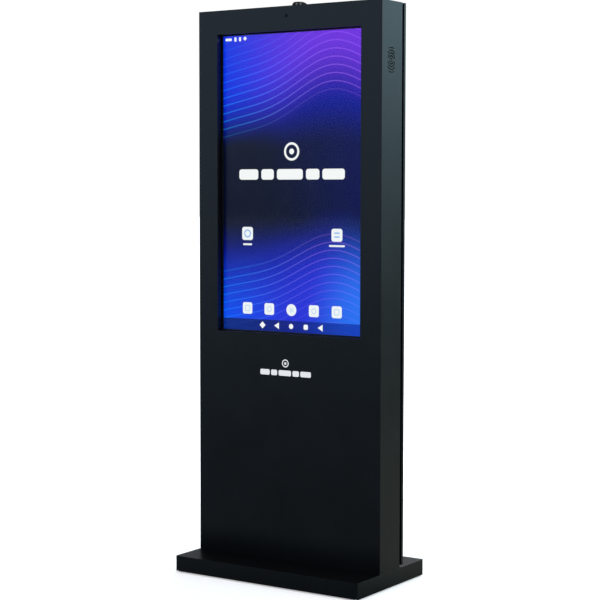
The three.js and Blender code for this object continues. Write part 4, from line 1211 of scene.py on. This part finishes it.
def driver_board():
    part = Piece()
    face = BOARD_FACE

    def block(look, cx, cz, width, height, depth, rim=0.35):
        part.block(look, cx, cz, width, height, face - 0.05, face + depth, rim)

    def metal_end(cx, cz, width, height, top):
        part.block("port_nickel", cx, cz, width, height, face - .02, face + top, 0.08, 1)

    def chip(cx, cz, width, height, legs, turned=False):
        """A flat package with legs below and above, or at both sides if turned."""
        block("chip_epoxy", cx, cz, width, height, 1.5, 0.2)
        span, body = (height, width) if turned else (width, height)
        for i in range(legs):
            along = -span * .42 + i * (span * .84 / (legs - 1))
            for side in (-1, 1):
                across = side * (body / 2 + .6)
                if turned:
                    metal_end(cx + across, cz + along, 1.4, .44, .5)
                else:
                    metal_end(cx + along, cz + across, .44, 1.4, .5)

    corners = ((-84, 1296), (84, 1296), (-84, 1404), (84, 1404))
    loops = [round_rect(0, 1350, 180, 120, 2, 4)] + [circle(x, z, 1.9, 16) for x, z in corners]
    part.add("circuit_board", prism("y", loops, 8.0, face, 0.12, 1))
    for corner in corners:
        part.add("brass_nut", hex_nut("y", corner, 0.62, 7.95, 3.4))
        part.screw(corner, face + 0.02, 3.0, 1.9)

    # main processor with a pinned heatsink
    block("chip_epoxy", -10, 1350, 30, 30, 1.6)
    part.block("heatsink_alu", -10, 1350, 40, 40, face + 1.55, face + 4.0, 0.4)
    for i in range(9):
        for j in range(9):
            part.block("heatsink_alu", -27.6 + i * 4.4, 1332.4 + j * 4.4, 1.6, 2.8,
                       face + 3.9, face + 12.3, 0.3, 1)

    # power connector, panel connector and double socket
    block("white_nylon", -65, 1303, 30, 17, 9.6, 0.6)
    part.block("white_nylon", -65, 1303, 26, 13, face + 9.0, face + 10.3, 0.4)
    # painted shade: near-black slots stand for the connector's pin holes
    for i in range(8):
        part.block("dark_inside", -77 + i * 3.3, 1303, 1.2, 8, face + 10.2, face + 10.8, 0.2, 1)
    block("white_nylon", 15, 1402, 48, 11, 6.6, 0.5)
    for i in range(22):
        part.block("gold_contact", -6 + i * 2.0, 1402, 0.6, 7, face + 6.4, face + 6.95, 0.1, 1)
    block("port_nickel", 60, 1311, 38, 21, 13.8, 0.7)
    # painted shade: near-black squares stand for the socket openings
    for cx in (50, 70):
        part.block("dark_inside", cx, 1311, 12, 12, face + 13.6, face + 13.95, 0.15, 1)

    for cx, cz, radius, height in CAPACITORS:
        top = face + height
        part.add("cap_sleeve", lathe("y", (cx, cz), [
            (0, face), (radius, face), (radius, face + 0.8), (radius * .93, face + 1.6),
            (radius, face + 2.4), (radius, top - 0.7), (radius * .92, top),
            (radius * .8, top - .05), (0, top - .05)], 28))
        part.add("port_nickel", lathe("y", (cx, cz), [
            (0, top - .1), (radius * .78, top - .1), (radius * .78, top + .12),
            (0, top + .12)], 28))
    # coils: x, z, size
    for cx, cz, size in ((-44, 1334, 12), (-44, 1318, 10), (36, 1340, 12), (56, 1344, 9)):
        block("ferrite", cx, cz, size, size, size * .62, 1.2)
        top = face + size * .6
        part.add("copper_wire", lathe("y", (cx, cz), [
            (0, top), (size * .36, top), (size * .36, top + .5), (size * .28, top + .7),
            (0, top + .7)], 24))
    chip(30, 1355, 10, 14, 10, turned=True)
    for spec in ((-36, 1352, 5, 6, 4), (-36, 1368, 5, 6, 4), (58, 1366, 14, 10, 12),
                 (20, 1318, 12, 8, 8), (-10, 1312, 14, 9, 10), (-20, 1386, 9, 7, 7)):
        chip(*spec)

    for i in range(60):                  # small parts, scattered in a fixed pattern
        cx = -58 + (i * 37 % 131)
        cz = 1296 + (i * 53 % 108)
        if any(abs(cx - x) < half_x and abs(cz - z) < half_z
               for x, half_x, z, half_z in KEEP_CLEAR):
            continue
        look = ("chip_epoxy", "white_nylon", "ferrite")[i % 3]
        width, height = ((2.0, 1.2), (1.2, 2.0))[i % 2]
        block(look, cx, cz, width, height, 0.7, 0.12)
        for side in (-1, 1):
            if width > height:
                metal_end(cx + side * width / 2, cz, .6, height + .06, .74)
            else:
                metal_end(cx, cz + side * height / 2, width + .06, .6, .74)
    block("green_led", 80, 1390, 3, 2, 1.0, 0.2)
    for cx, cz, width, height in ((75, 1405, 18, 5), (-68, 1405, 18, 5), (55, 1403, 14, 6)):
        block("white_nylon", cx, cz, width, height, 4.6, 0.4)
    part.done("driver_board_assembly", "cabinet", ["driver_board"])


power_supply()
media_player()
driver_board()


# ---------------------------------------------------------------- cables
def lead(name, look, replaced, radius, sides, path, sleeve=None):
    part = Piece()
    part.add(look, tube(path, radius, sides, step=9))
    if sleeve:
        part.add("black_rubber", sleeve)
    part.done(name, "cabinet", [replaced])


def leads():
    lead("mains_lead", "cable_black", "mains_cable", 3.8, 18, [
        (-170, 167.5, 26), (-170, 157, 25), (-150, 120, 25), (-70, 20, 25), (-14, -8, 26),
        (-6.5, -10, 40), (-6.5, -10, 56), (-6.5, -10, 90), (-20, -6, 240), (-60, 18, 620),
        (-110, 28, 880), (-137, 29, 985)],
        sleeve=lathe("z", (-137, 29), [
            (0, 980), (4.2, 980), (4.5, 981), (4.5, 989), (4.0, 990.5), (0, 990.5)], 20))
    lead("network_lead", "cable_blue", "network_cable", 2.8, 16, [
        (-70, 169.5, 29), (-70, 157, 27), (-55, 110, 24), (-10, 30, 24), (8, -4, 26),
        (7.5, -10, 40), (7.5, -10, 56), (7.5, -10, 90), (14, -6, 240), (48, 14, 620),
        (72, 18, 880), (70, 17, 990), (70, 16, 1030)])
    lead("antenna_lead", "cable_black", "antenna_cable", 1.6, 12, [
        (0, 0, ROOF_Z - 20.4), (0, 0, 1772), (8, 4, 1740), (36, 10, 1690), (80, 13, 1600),
        (104, 14, 1500), (106, 14, 1300), (106, 16, 1215), (106, 16, 1190)])


def display_ribbon():
    """Ribbed flat cable from the driver board to the panel."""
    count, width = 20, 26
    cores = [-width / 2 + width * (i + .5) / count for i in range(count)]
    section = [(core + .62 * math.cos(math.radians(angle)), .6 * math.sin(math.radians(angle)))
               for row, angles in ((cores, (150, 90, 30)), (cores[::-1], (-30, -90, -150)))
               for core in row for angle in angles]
    part = Piece()
    part.add("ribbon_grey", sweep([
        (15, 13.0, 1408.5), (15, 13.0, 1452), (15, 9.4, 1499.8), (15, 3.6, 1515.2),
        (15, -7.7, 1518.0), (15, -14.6, 1510.9), (15, -19.2, 1507.2)],
        section, step=6, across=Vector((1, 0, 0))))
    part.box("chip_epoxy", 0.5, 29.5, 11.4, 14.8, 1405.5, 1410.5, rim=0.5)
    part.done("display_ribbon", "cabinet", ["display_cable"])


def cable_ties():
    """Two ties round the mains and network leads, low in the cabinet."""
    part = Piece()
    cx = 0.5
    for z, cy in ((84, -10), (118, -9.6)):
        part.add("chip_epoxy", prism("z", [round_rect(cx, cy, 23.6, 9.4, 4.4, 6),
                                           round_rect(cx, cy, 21.6, 7.8, 3.8, 6)],
                                     z, z + 3.4, 0.2, 1))
        part.box("chip_epoxy", cx + 2, cx + 7, cy + 3.6, cy + 8.4, z - .8, z + 4.2, rim=0.6)
    part.done("cable_ties", "cabinet")


leads()
display_ribbon()
cable_ties()


# ---------------------------------------------------------------- steelwork inside
def inner_fixings():
    part = Piece()
    for x, heights in ((-205, (1489, 1461, 999, 971)), (-70, (1461, 999)),
                       (70, (1461, 999)), (205, (1489, 1461, 999, 971))):
        for z in heights:
            part.screw((x, z), 0.32, 4.6, 2.8)
    for side in (-1, 1):
        for z in (1475, 985):
            for centre in ((-22.0, z - 13), (-22.0, z + 13)):
                washer = [(0, 338.7), (8.2, 338.7), (8.4, 338.4), (8.4, 337.4), (8.2, 337.1),
                          (0, 337.1)]
                part.add("fastener_zinc", lathe("x", centre, [(r, side * x) for r, x in washer]))
                part.add("fastener_zinc", hex_nut("x", centre, side * 337.2, side * 332.0, 6.2))
        for x in (260, 305):
            for z in (1488, 1462, 998, 972):
                part.screw((side * x, z), -1.98, 4.6, 2.8)
        for z in (FAN_Z - 56, FAN_Z, FAN_Z + 56):
            part.screw((side * 318, z), 62.05, 3.8, 2.2)
    for x in (-205, 205):                # raised bars near the sides of the driver board
        for i in range(7):
            z = 1290 + i * 18
            part.box("zinc_steel", x - 9, x + 9, 0.1, 2.6, z - 2.4, z + 2.4,
                     rim=1.1, segments=3)
    part.done("inner_fixings", "cabinet")


def tray_pressings():
    """Pressed channels and screws on the back of the display tray."""
    part = Piece()

    def channel(cx, cz, width, height, band, outer, inner):
        part.add("tray_alloy", prism("y", [
            round_rect(cx, cz, width, height, outer, 6),
            round_rect(cx, cz, width - band, height - band, inner, 6)], -20.2, -18.3, 0.8, 3))

    for x in (-150, 0, 150):
        for low, high in ((1548, 1700), (800, 930)):
            channel(x, (low + high) / 2, 96, high - low, band=16, outer=12, inner=7)
    for side in (-1, 1):
        channel(side * 252, 1230, 30, 420, band=14, outer=12, inner=6)
        for z in (780, 940, 1060, 1230, 1400, 1530, 1722):
            part.screw((side * 271, z), -20.0, 2.9, 1.8)
    for x in (-200, -75, 75, 200):
        for z in (779, 1727):
            part.screw((x, z), -20.0, 2.9, 1.8)
    part.done("display_tray_pressings", "cabinet")


# ---------------------------------------------------------------- door and its parts
def door_seal():
    """D-section foam seal round the door frame, mitred at the corners."""
    half_width, z0, z1 = 328.0, 72.0, 1786.0
    # (distance in from the outer edge, y)
    profile = [(0.4, 66.32), (11.6, 66.32), (11.8, 66.6), (11.7, 67.4), (10.6, 68.0)]
    profile += [(6.0 + 4.4 * math.cos(PI * i / 8), 69.0 + 4.1 * math.sin(PI * i / 8))
                for i in range(9)]
    profile += [(1.4, 68.0), (0.3, 67.4), (0.2, 66.6)]
    mesh = bmesh.new()
    rows = [[mesh.verts.new((side * (half_width - inset), y, edge_z + rise * inset))
             for inset, y in profile]
            for side, edge_z, rise in ((-1, z0, 1), (1, z0, 1), (1, z1, -1), (-1, z1, -1))]
    for first, second in zip(rows, rows[1:] + rows[:1]):
        bridge(mesh, first, second)
    part = Piece()
    part.add("foam", mesh)
    part.done("door_seal", "cabinet", ["door_gasket"])


def intake_filter():
    """Foam pad with a rough, gently wavy surface, in a slim frame."""
    columns, rows = 120, 42
    x0, x1, z0, z1 = -173.0, 173.0, FILTER_Z - 57, FILTER_Z + 57

    def wobble(i, j, k):
        value = math.sin(i * 12.9898 + j * 78.233 + k * 37.719) * 43758.5453
        return value - math.floor(value)

    mesh = bmesh.new()
    inner, outer = [], []
    for i in range(columns + 1):
        inner.append([])
        outer.append([])
        for j in range(rows + 1):
            x, z = x0 + (x1 - x0) * i / columns, z0 + (z1 - z0) * j / rows
            fade = min(1.0, min(i, columns - i, j, rows - j) / 2.0)
            wave = 0.45 * math.sin(x * .11) * math.sin(z * .13)
            y = 68.0 - fade * (0.25 + 0.5 * wobble(i, j, 1)) - 0.2 * wave
            inner[-1].append(mesh.verts.new((x, y, z)))
            y = 72.2 + fade * (0.25 + 0.5 * wobble(i, j, 2))
            outer[-1].append(mesh.verts.new((x, y, z)))
    slab(mesh, inner, outer)
    part = Piece()
    part.add("foam", mesh)
    part.add("door_paint", prism("y", [round_rect(0, FILTER_Z, 352, 120, 3, 4),
                                       round_rect(0, FILTER_Z, 338, 106, 2, 4)],
                                 66.5, 73.1, 0.4))
    for x in (-85, 0, 85):
        part.block("door_paint", x, FILTER_Z, 3, 106.8, 66.55, 67.6, 0.4)
    part.done("intake_filter_pad", "door", ["intake_filter"])


def door_fixings():
    part = Piece()
    for z in LOCK_Z.values():            # nut and washer behind the door skin
        part.add("fastener_zinc", hex_nut("y", (LOCK_X, z), 73.2, 69.6, 14.0, 9.65, 36))
        part.add("fastener_zinc", lathe("y", (LOCK_X, z), [
            (9.65, 69.4), (13.0, 69.4), (13.2, 69.2), (13.2, 68.6), (13.0, 68.4),
            (9.65, 68.4)], 36))
    for x in (-270, -90, 90, 270):       # spot-weld rings
        for z in (652, 728):
            part.add("door_paint", lathe("y", (x, z), [
                (0, 72.15), (3.0, 72.15), (3.2, 71.98), (2.6, 71.85), (1.6, 72.0),
                (0, 72.02)], 24))
    part.done("door_fixings", "door")
    for name, z in LOCK_Z.items():
        part = Piece()
        part.add("fastener_zinc", hex_nut("y", (LOCK_X, z), 57.9, 55.2, 5.6))
        part.add("fastener_zinc", lathe("y", (LOCK_X, z), [
            (0, 55.3), (2.4, 55.3), (2.4, 53.9), (2.0, 53.5), (0, 53.5)], 20))
        part.done(f"cam_lock_{name}_nut", f"{name}_lock")


def socket_contacts():
    part = Piece()
    for dx, dz in ((-7, -2.5), (7, -2.5), (0, 3)):
        part.box("port_nickel", INLET_X + dx - 1.08, INLET_X + dx + 1.08, 183, 197.7,
                 SOCKET_Z + dz - 3.1, SOCKET_Z + dz + 3.1, rim=0.5)
    for i in range(8):
        x = NETWORK_X - 3.6 + i * 1.03
        part.add("gold_contact", tube([
            (x, 189.5, SOCKET_Z + 3.6), (x, 193, SOCKET_Z + 3.4), (x, 197.6, SOCKET_Z + 1.0)],
            0.22, 8, step=1.2))
    part.done("socket_contacts", "cabinet")


def rocker_marks():
    """Raised O and I on the sloping halves of the tipped rocker."""
    pivot = Vector((SWITCH_X, 193.6, 0))
    tip = (Matrix.Translation(pivot) @ Matrix.Rotation(math.radians(8), 4, "Z")
           @ Matrix.Translation(-pivot))
    rise, run, offset = 1.6, 9, 5.2      # slope of each half, and each mark's place on it
    slope = math.atan2(rise, run)
    ring = prism("y", [circle(0, 0, 1.9, 28), circle(0, 0, 1.35, 28)], -0.1, 0.14, 0.05, 1)
    line = box(-0.35, 0.35, -0.1, 0.14, -2.0, 2.0, 0.08, 1)
    part = Piece()
    for side, shape in ((-1, ring), (1, line)):
        place = (SWITCH_X + side * offset, 193.6 + 2.8 + rise * offset / run, SOCKET_Z)
        part.add("white_vinyl", shape, tip @ Matrix.Translation(place)
                 @ Matrix.Rotation(side * slope, 4, "Z"))
    part.done("rocker_marks", "rocker")


def hole_outline(cx, cz, radius, reach):
    """Points of a round hole, drawn out upright by reach each way, and its 45 degree marks."""
    points, marks = [], []
    turns = [*range(17), *range(16, 33)] if reach else range(32)
    for i, turn in enumerate(turns):
        angle = 2 * PI * turn / 32
        if turn % 8 == 4:
            marks.append(i)
        points.append((cx + radius * math.cos(angle),
                       cz + (reach if i <= 16 else -reach) + radius * math.sin(angle)))
    return points, marks


def rear_door():
    """The door as one folded sheet: skin, side flanges, returns, slots and lock holes."""
    half_width, sheet, bend, front, back = 343.0, 1.5, 3.0, 62.0, 75.0
    lock_cell, slot_cell, slot_pitch, slot_radius = 16, 54, 12, 2.49
    xs = [LOCK_X - lock_cell, LOCK_X + lock_cell, 340.0] + [56.0 + slot_pitch * i
                                                           for i in range(10)]
    xs = sorted([side * x for side in (-1, 1) for x in xs], reverse=True)
    zs = [61.0, FILTER_Z - slot_cell, FILTER_Z + slot_cell,
          LOCK_Z["lower"] - lock_cell, LOCK_Z["lower"] + lock_cell, 900.0,
          LOCK_Z["upper"] - lock_cell, LOCK_Z["upper"] + lock_cell,
          FAN_Z - slot_cell, FAN_Z + slot_cell, ROOF_Z]
    slot_rows, lock_rows = (1, 8), (3, 6)
    bend_steps = 6
    first = bend_steps + 1               # number of profile points before the flat skin

    def profile(inset):
        """(x, y) points across the door, from +x to -x."""
        corner = []
        for i in range(1, bend_steps):
            angle = PI / 2 * i / bend_steps
            corner.append((half_width - bend + (bend - inset) * math.cos(angle),
                           back - bend + (bend - inset) * math.sin(angle)))
        flange = [(half_width - inset, front), (half_width - inset, back - bend)] + corner
        return (flange + [(x, back - inset) for x in xs]
                + [(-x, y) for x, y in reversed(flange)])

    mesh = bmesh.new()
    across = profile(0.0)
    last, count = len(zs) - 1, len(across)
    outer = [[mesh.verts.new((x, y, z)) for x, y in across] for z in zs]
    ends = {0: sheet, last: -sheet}
    inner = [[mesh.verts.new((x, y, z + ends.get(row, 0))) for x, y in profile(sheet)]
             for row, z in enumerate(zs)]

    def pierced(row, k, hole):
        """A cell of both skins with a hole through it."""
        points, marks = hole_outline((across[k][0] + across[k + 1][0]) / 2,
                                     (zs[row] + zs[row + 1]) / 2, *hole)
        rims = []
        for y in (back, back - sheet):
            rims.append([mesh.verts.new((x, y, z)) for x, z in points])
        for grid, rim in zip((outer, inner), rims):
            corners = (grid[row + 1][k], grid[row + 1][k + 1], grid[row][k + 1], grid[row][k])
            for q in range(4):
                start, end = marks[q], marks[(q + 1) % 4]
                arc = [rim[(start + i) % len(rim)] for i in range((end - start) % len(rim) + 1)]
                mesh.faces.new([corners[q], corners[(q + 1) % 4]] + arc[::-1])
        bridge(mesh, *rims)

    for row in range(last):
        for k in range(count - 1):
            xa, xb = across[k][0], across[k + 1][0]
            flat = first <= k < first + len(xs) - 1
            if flat and abs(xa - xb) < slot_pitch + 1 and row in slot_rows:
                pierced(row, k, (slot_radius, 48.0 - slot_radius))
            elif flat and abs((xa + xb) / 2 - LOCK_X) < 1 and row in lock_rows:
                pierced(row, k, (9.8, 0.0))
            else:
                mesh.faces.new((outer[row][k], outer[row][k + 1],
                                outer[row + 1][k + 1], outer[row + 1][k]))
                mesh.faces.new((inner[row][k], inner[row + 1][k],
                                inner[row + 1][k + 1], inner[row][k + 1]))
    for grid in (outer, inner):          # top and bottom returns
        mesh.faces.new(grid[0])
        mesh.faces.new(grid[-1])
    for row in range(last):              # front edges of the side flanges
        for k in (0, count - 1):
            mesh.faces.new((outer[row][k], outer[row + 1][k],
                            inner[row + 1][k], inner[row][k]))
    for row in (0, -1):                  # front edges of the returns
        mesh.faces.new((outer[row][0], inner[row][0], inner[row][-1], outer[row][-1]))
    part = Piece()
    part.add("door_paint", mesh)
    obj = part.done("rear_door_skin", "door", ["rear_door"])
    rim_bevel(obj, 0.45, angle=40)
    weight = obj.modifiers["weight"]
    weight.use_face_influence, weight.weight = True, 100
    obj.modifiers.move(obj.modifiers.find("rim"), 0)


inner_fixings()
tray_pressings()
door_seal()
intake_filter()
door_fixings()
socket_contacts()
rocker_marks()
rear_door()


# ---------------------------------------------------------------- floor, world, lights, camera
def floor():
    """Pale floor for the camera; reflections and bounces see a dark one with soft glows."""
    mesh = bmesh.new()
    bmesh.ops.create_grid(mesh, x_segments=12, y_segments=12, size=60.0)
    data = bpy.data.meshes.new("studio_floor")
    mesh.to_mesh(data)
    mesh.free()
    obj = bpy.data.objects.new("studio_floor", data)
    scene.collection.objects.link(obj)
    net = material("studio_floor")
    x, y, _ = net.split(net.place)
    pale = net.node("BsdfDiffuse",
                    net.scale_rgb((0.80, 0.80, 0.80), net.noise(3.0).spread(0.985, 1.0)))
    # brighter away from the cabinet, so that it fades into the backdrop
    lift = net.node("Emission", (1, 1, 1),
                    (x * x + y * y).sqrt().ramp(0.45, 1.7, low=0.40, high=1.05))
    dark = net.node("BsdfDiffuse", (0.022, 0.023, 0.021))
    # warm glow towards the rear right
    behind = x * 0.62 + y * 0.78
    warm = net.node("Emission", (1.0, 1.0, 0.78),
                    behind.ramp(0.1, 0.6, high=0.165) * behind.ramp(1.4, 5.0, 1.0, 0.50))
    # blue glow towards the front left, near and far
    ahead = x * -0.55 + y * -0.83
    cool = net.node("Emission", (0.50, 0.63, 0.84),
                    ahead.ramp(5.0, 16.0, high=0.75)
                    + ahead.ramp(0.15, 0.6, high=0.09) * ahead.ramp(1.5, 4.0, 1.0, 0.0))
    unseen = net.node("AddShader", net.node("AddShader", dark, warm), cool)
    seen = net.node("AddShader", pale, lift)
    is_camera = net.node("LightPath", out="Is Camera Ray")
    net.finish(net.node("MixShader", is_camera, unseen, seen))
    data.materials.append(MATERIALS["studio_floor"])


def studio_world():
    """White to the camera; lit by a blue front and a bright cool wall at the rear right."""
    world = bpy.data.worlds.new("studio")
    scene.world = world
    world.use_nodes = True
    net = Net(world.node_tree, "OutputWorld", "Generated")
    x, y, z = net.split(net.place)
    wall = (x * 0.62 + y * 0.78).ramp(0.45, 0.97)
    front = (x * -0.55 + y * -0.83).ramp(0.2, 0.95)
    height = z.ramp(-0.08, 0.22, low=0.10, high=1.0)
    dimmed = z.ramp(0.06, 0.38, high=0.72) * front * -1.0 + 1.0
    sky = net.mix((0.40, 0.42, 0.44), (0.74, 0.93, 1.22), front)
    sky = net.scale_rgb(sky, height * dimmed)
    wall_color = net.scale_rgb((1.24, 1.83, 2.12), z.ramp(-0.03, 0.17, low=0.05, high=1.0))
    lit = net.node("Background", net.mix(sky, wall_color, wall))
    backdrop = net.node("Background", (1, 1, 1), 1.02)
    is_camera = net.node("LightPath", out="Is Camera Ray")
    net.finish(net.node("MixShader", is_camera, lit, backdrop))


def softbox(name, at, aim_z, size, power, tint=(1, 1, 1)):
    """A rectangular light that points at a height on the cabinet's axis."""
    data = bpy.data.lights.new(name, "AREA")
    data.shape, data.size, data.size_y = "RECTANGLE", size[0], size[1]
    data.energy, data.color = power, tint
    obj = bpy.data.objects.new(name, data)
    scene.collection.objects.link(obj)
    obj.location = at
    obj.rotation_mode = "QUATERNION"
    aim = Vector((0, 0, aim_z)) - Vector(at)
    obj.rotation_quaternion = aim.to_track_quat("-Z", "Y")
    return obj


def lights():
    softbox("top_softbox", at=(0.3, -0.3, 4.4), aim_z=0.6, size=(3.6, 3.6), power=80)
    softbox("rear_softbox", at=(-1.0, 4.4, 3.6), aim_z=1.0, size=(2.4, 2.4), power=90)
    softbox("right_softbox", at=(4.6, 0.6, 2.6), aim_z=1.0, size=(2.2, 2.6), power=60,
            tint=(0.92, 0.97, 1.0))
    softbox("edge_softbox", at=(4.4, -2.7, 1.7), aim_z=1.1, size=(0.5, 2.4), power=9,
            tint=(0.90, 0.97, 1.0))
    left = softbox("left_softbox", at=(-4.2, -2.4, 3.0), aim_z=1.0, size=(2.4, 2.4), power=45)
    left.visible_glossy = False


def camera():
    """The camera stands to the right of the front, about level with the screen's middle."""
    yaw, pitch, roll = (math.radians(angle) for angle in (33.567, -3.805, 0.081))
    forward = Vector((-math.sin(yaw) * math.cos(pitch), math.cos(yaw) * math.cos(pitch),
                      math.sin(pitch)))
    level = Vector((math.cos(yaw), math.sin(yaw), 0))
    upright = level.cross(forward)
    right = level * math.cos(roll) + upright * math.sin(roll)
    up = upright * math.cos(roll) - level * math.sin(roll)
    data = bpy.data.cameras.new("studio_camera")
    data.lens, data.sensor_width, data.sensor_fit = 97.483, 36.0, "AUTO"
    data.clip_start, data.clip_end = 0.05, 200.0
    obj = bpy.data.objects.new("studio_camera", data)
    scene.collection.objects.link(obj)
    obj.rotation_mode = "QUATERNION"
    obj.rotation_quaternion = Matrix((right, up, -forward)).transposed().to_quaternion()
    obj.location = (2.8542, -4.2973, 1.2261)
    scene.camera = obj


floor()
studio_world()
lights()
camera()
view = scene.view_settings
view.view_transform, view.look = "Standard", "None"
view.exposure, view.gamma = 0.0, 1.0
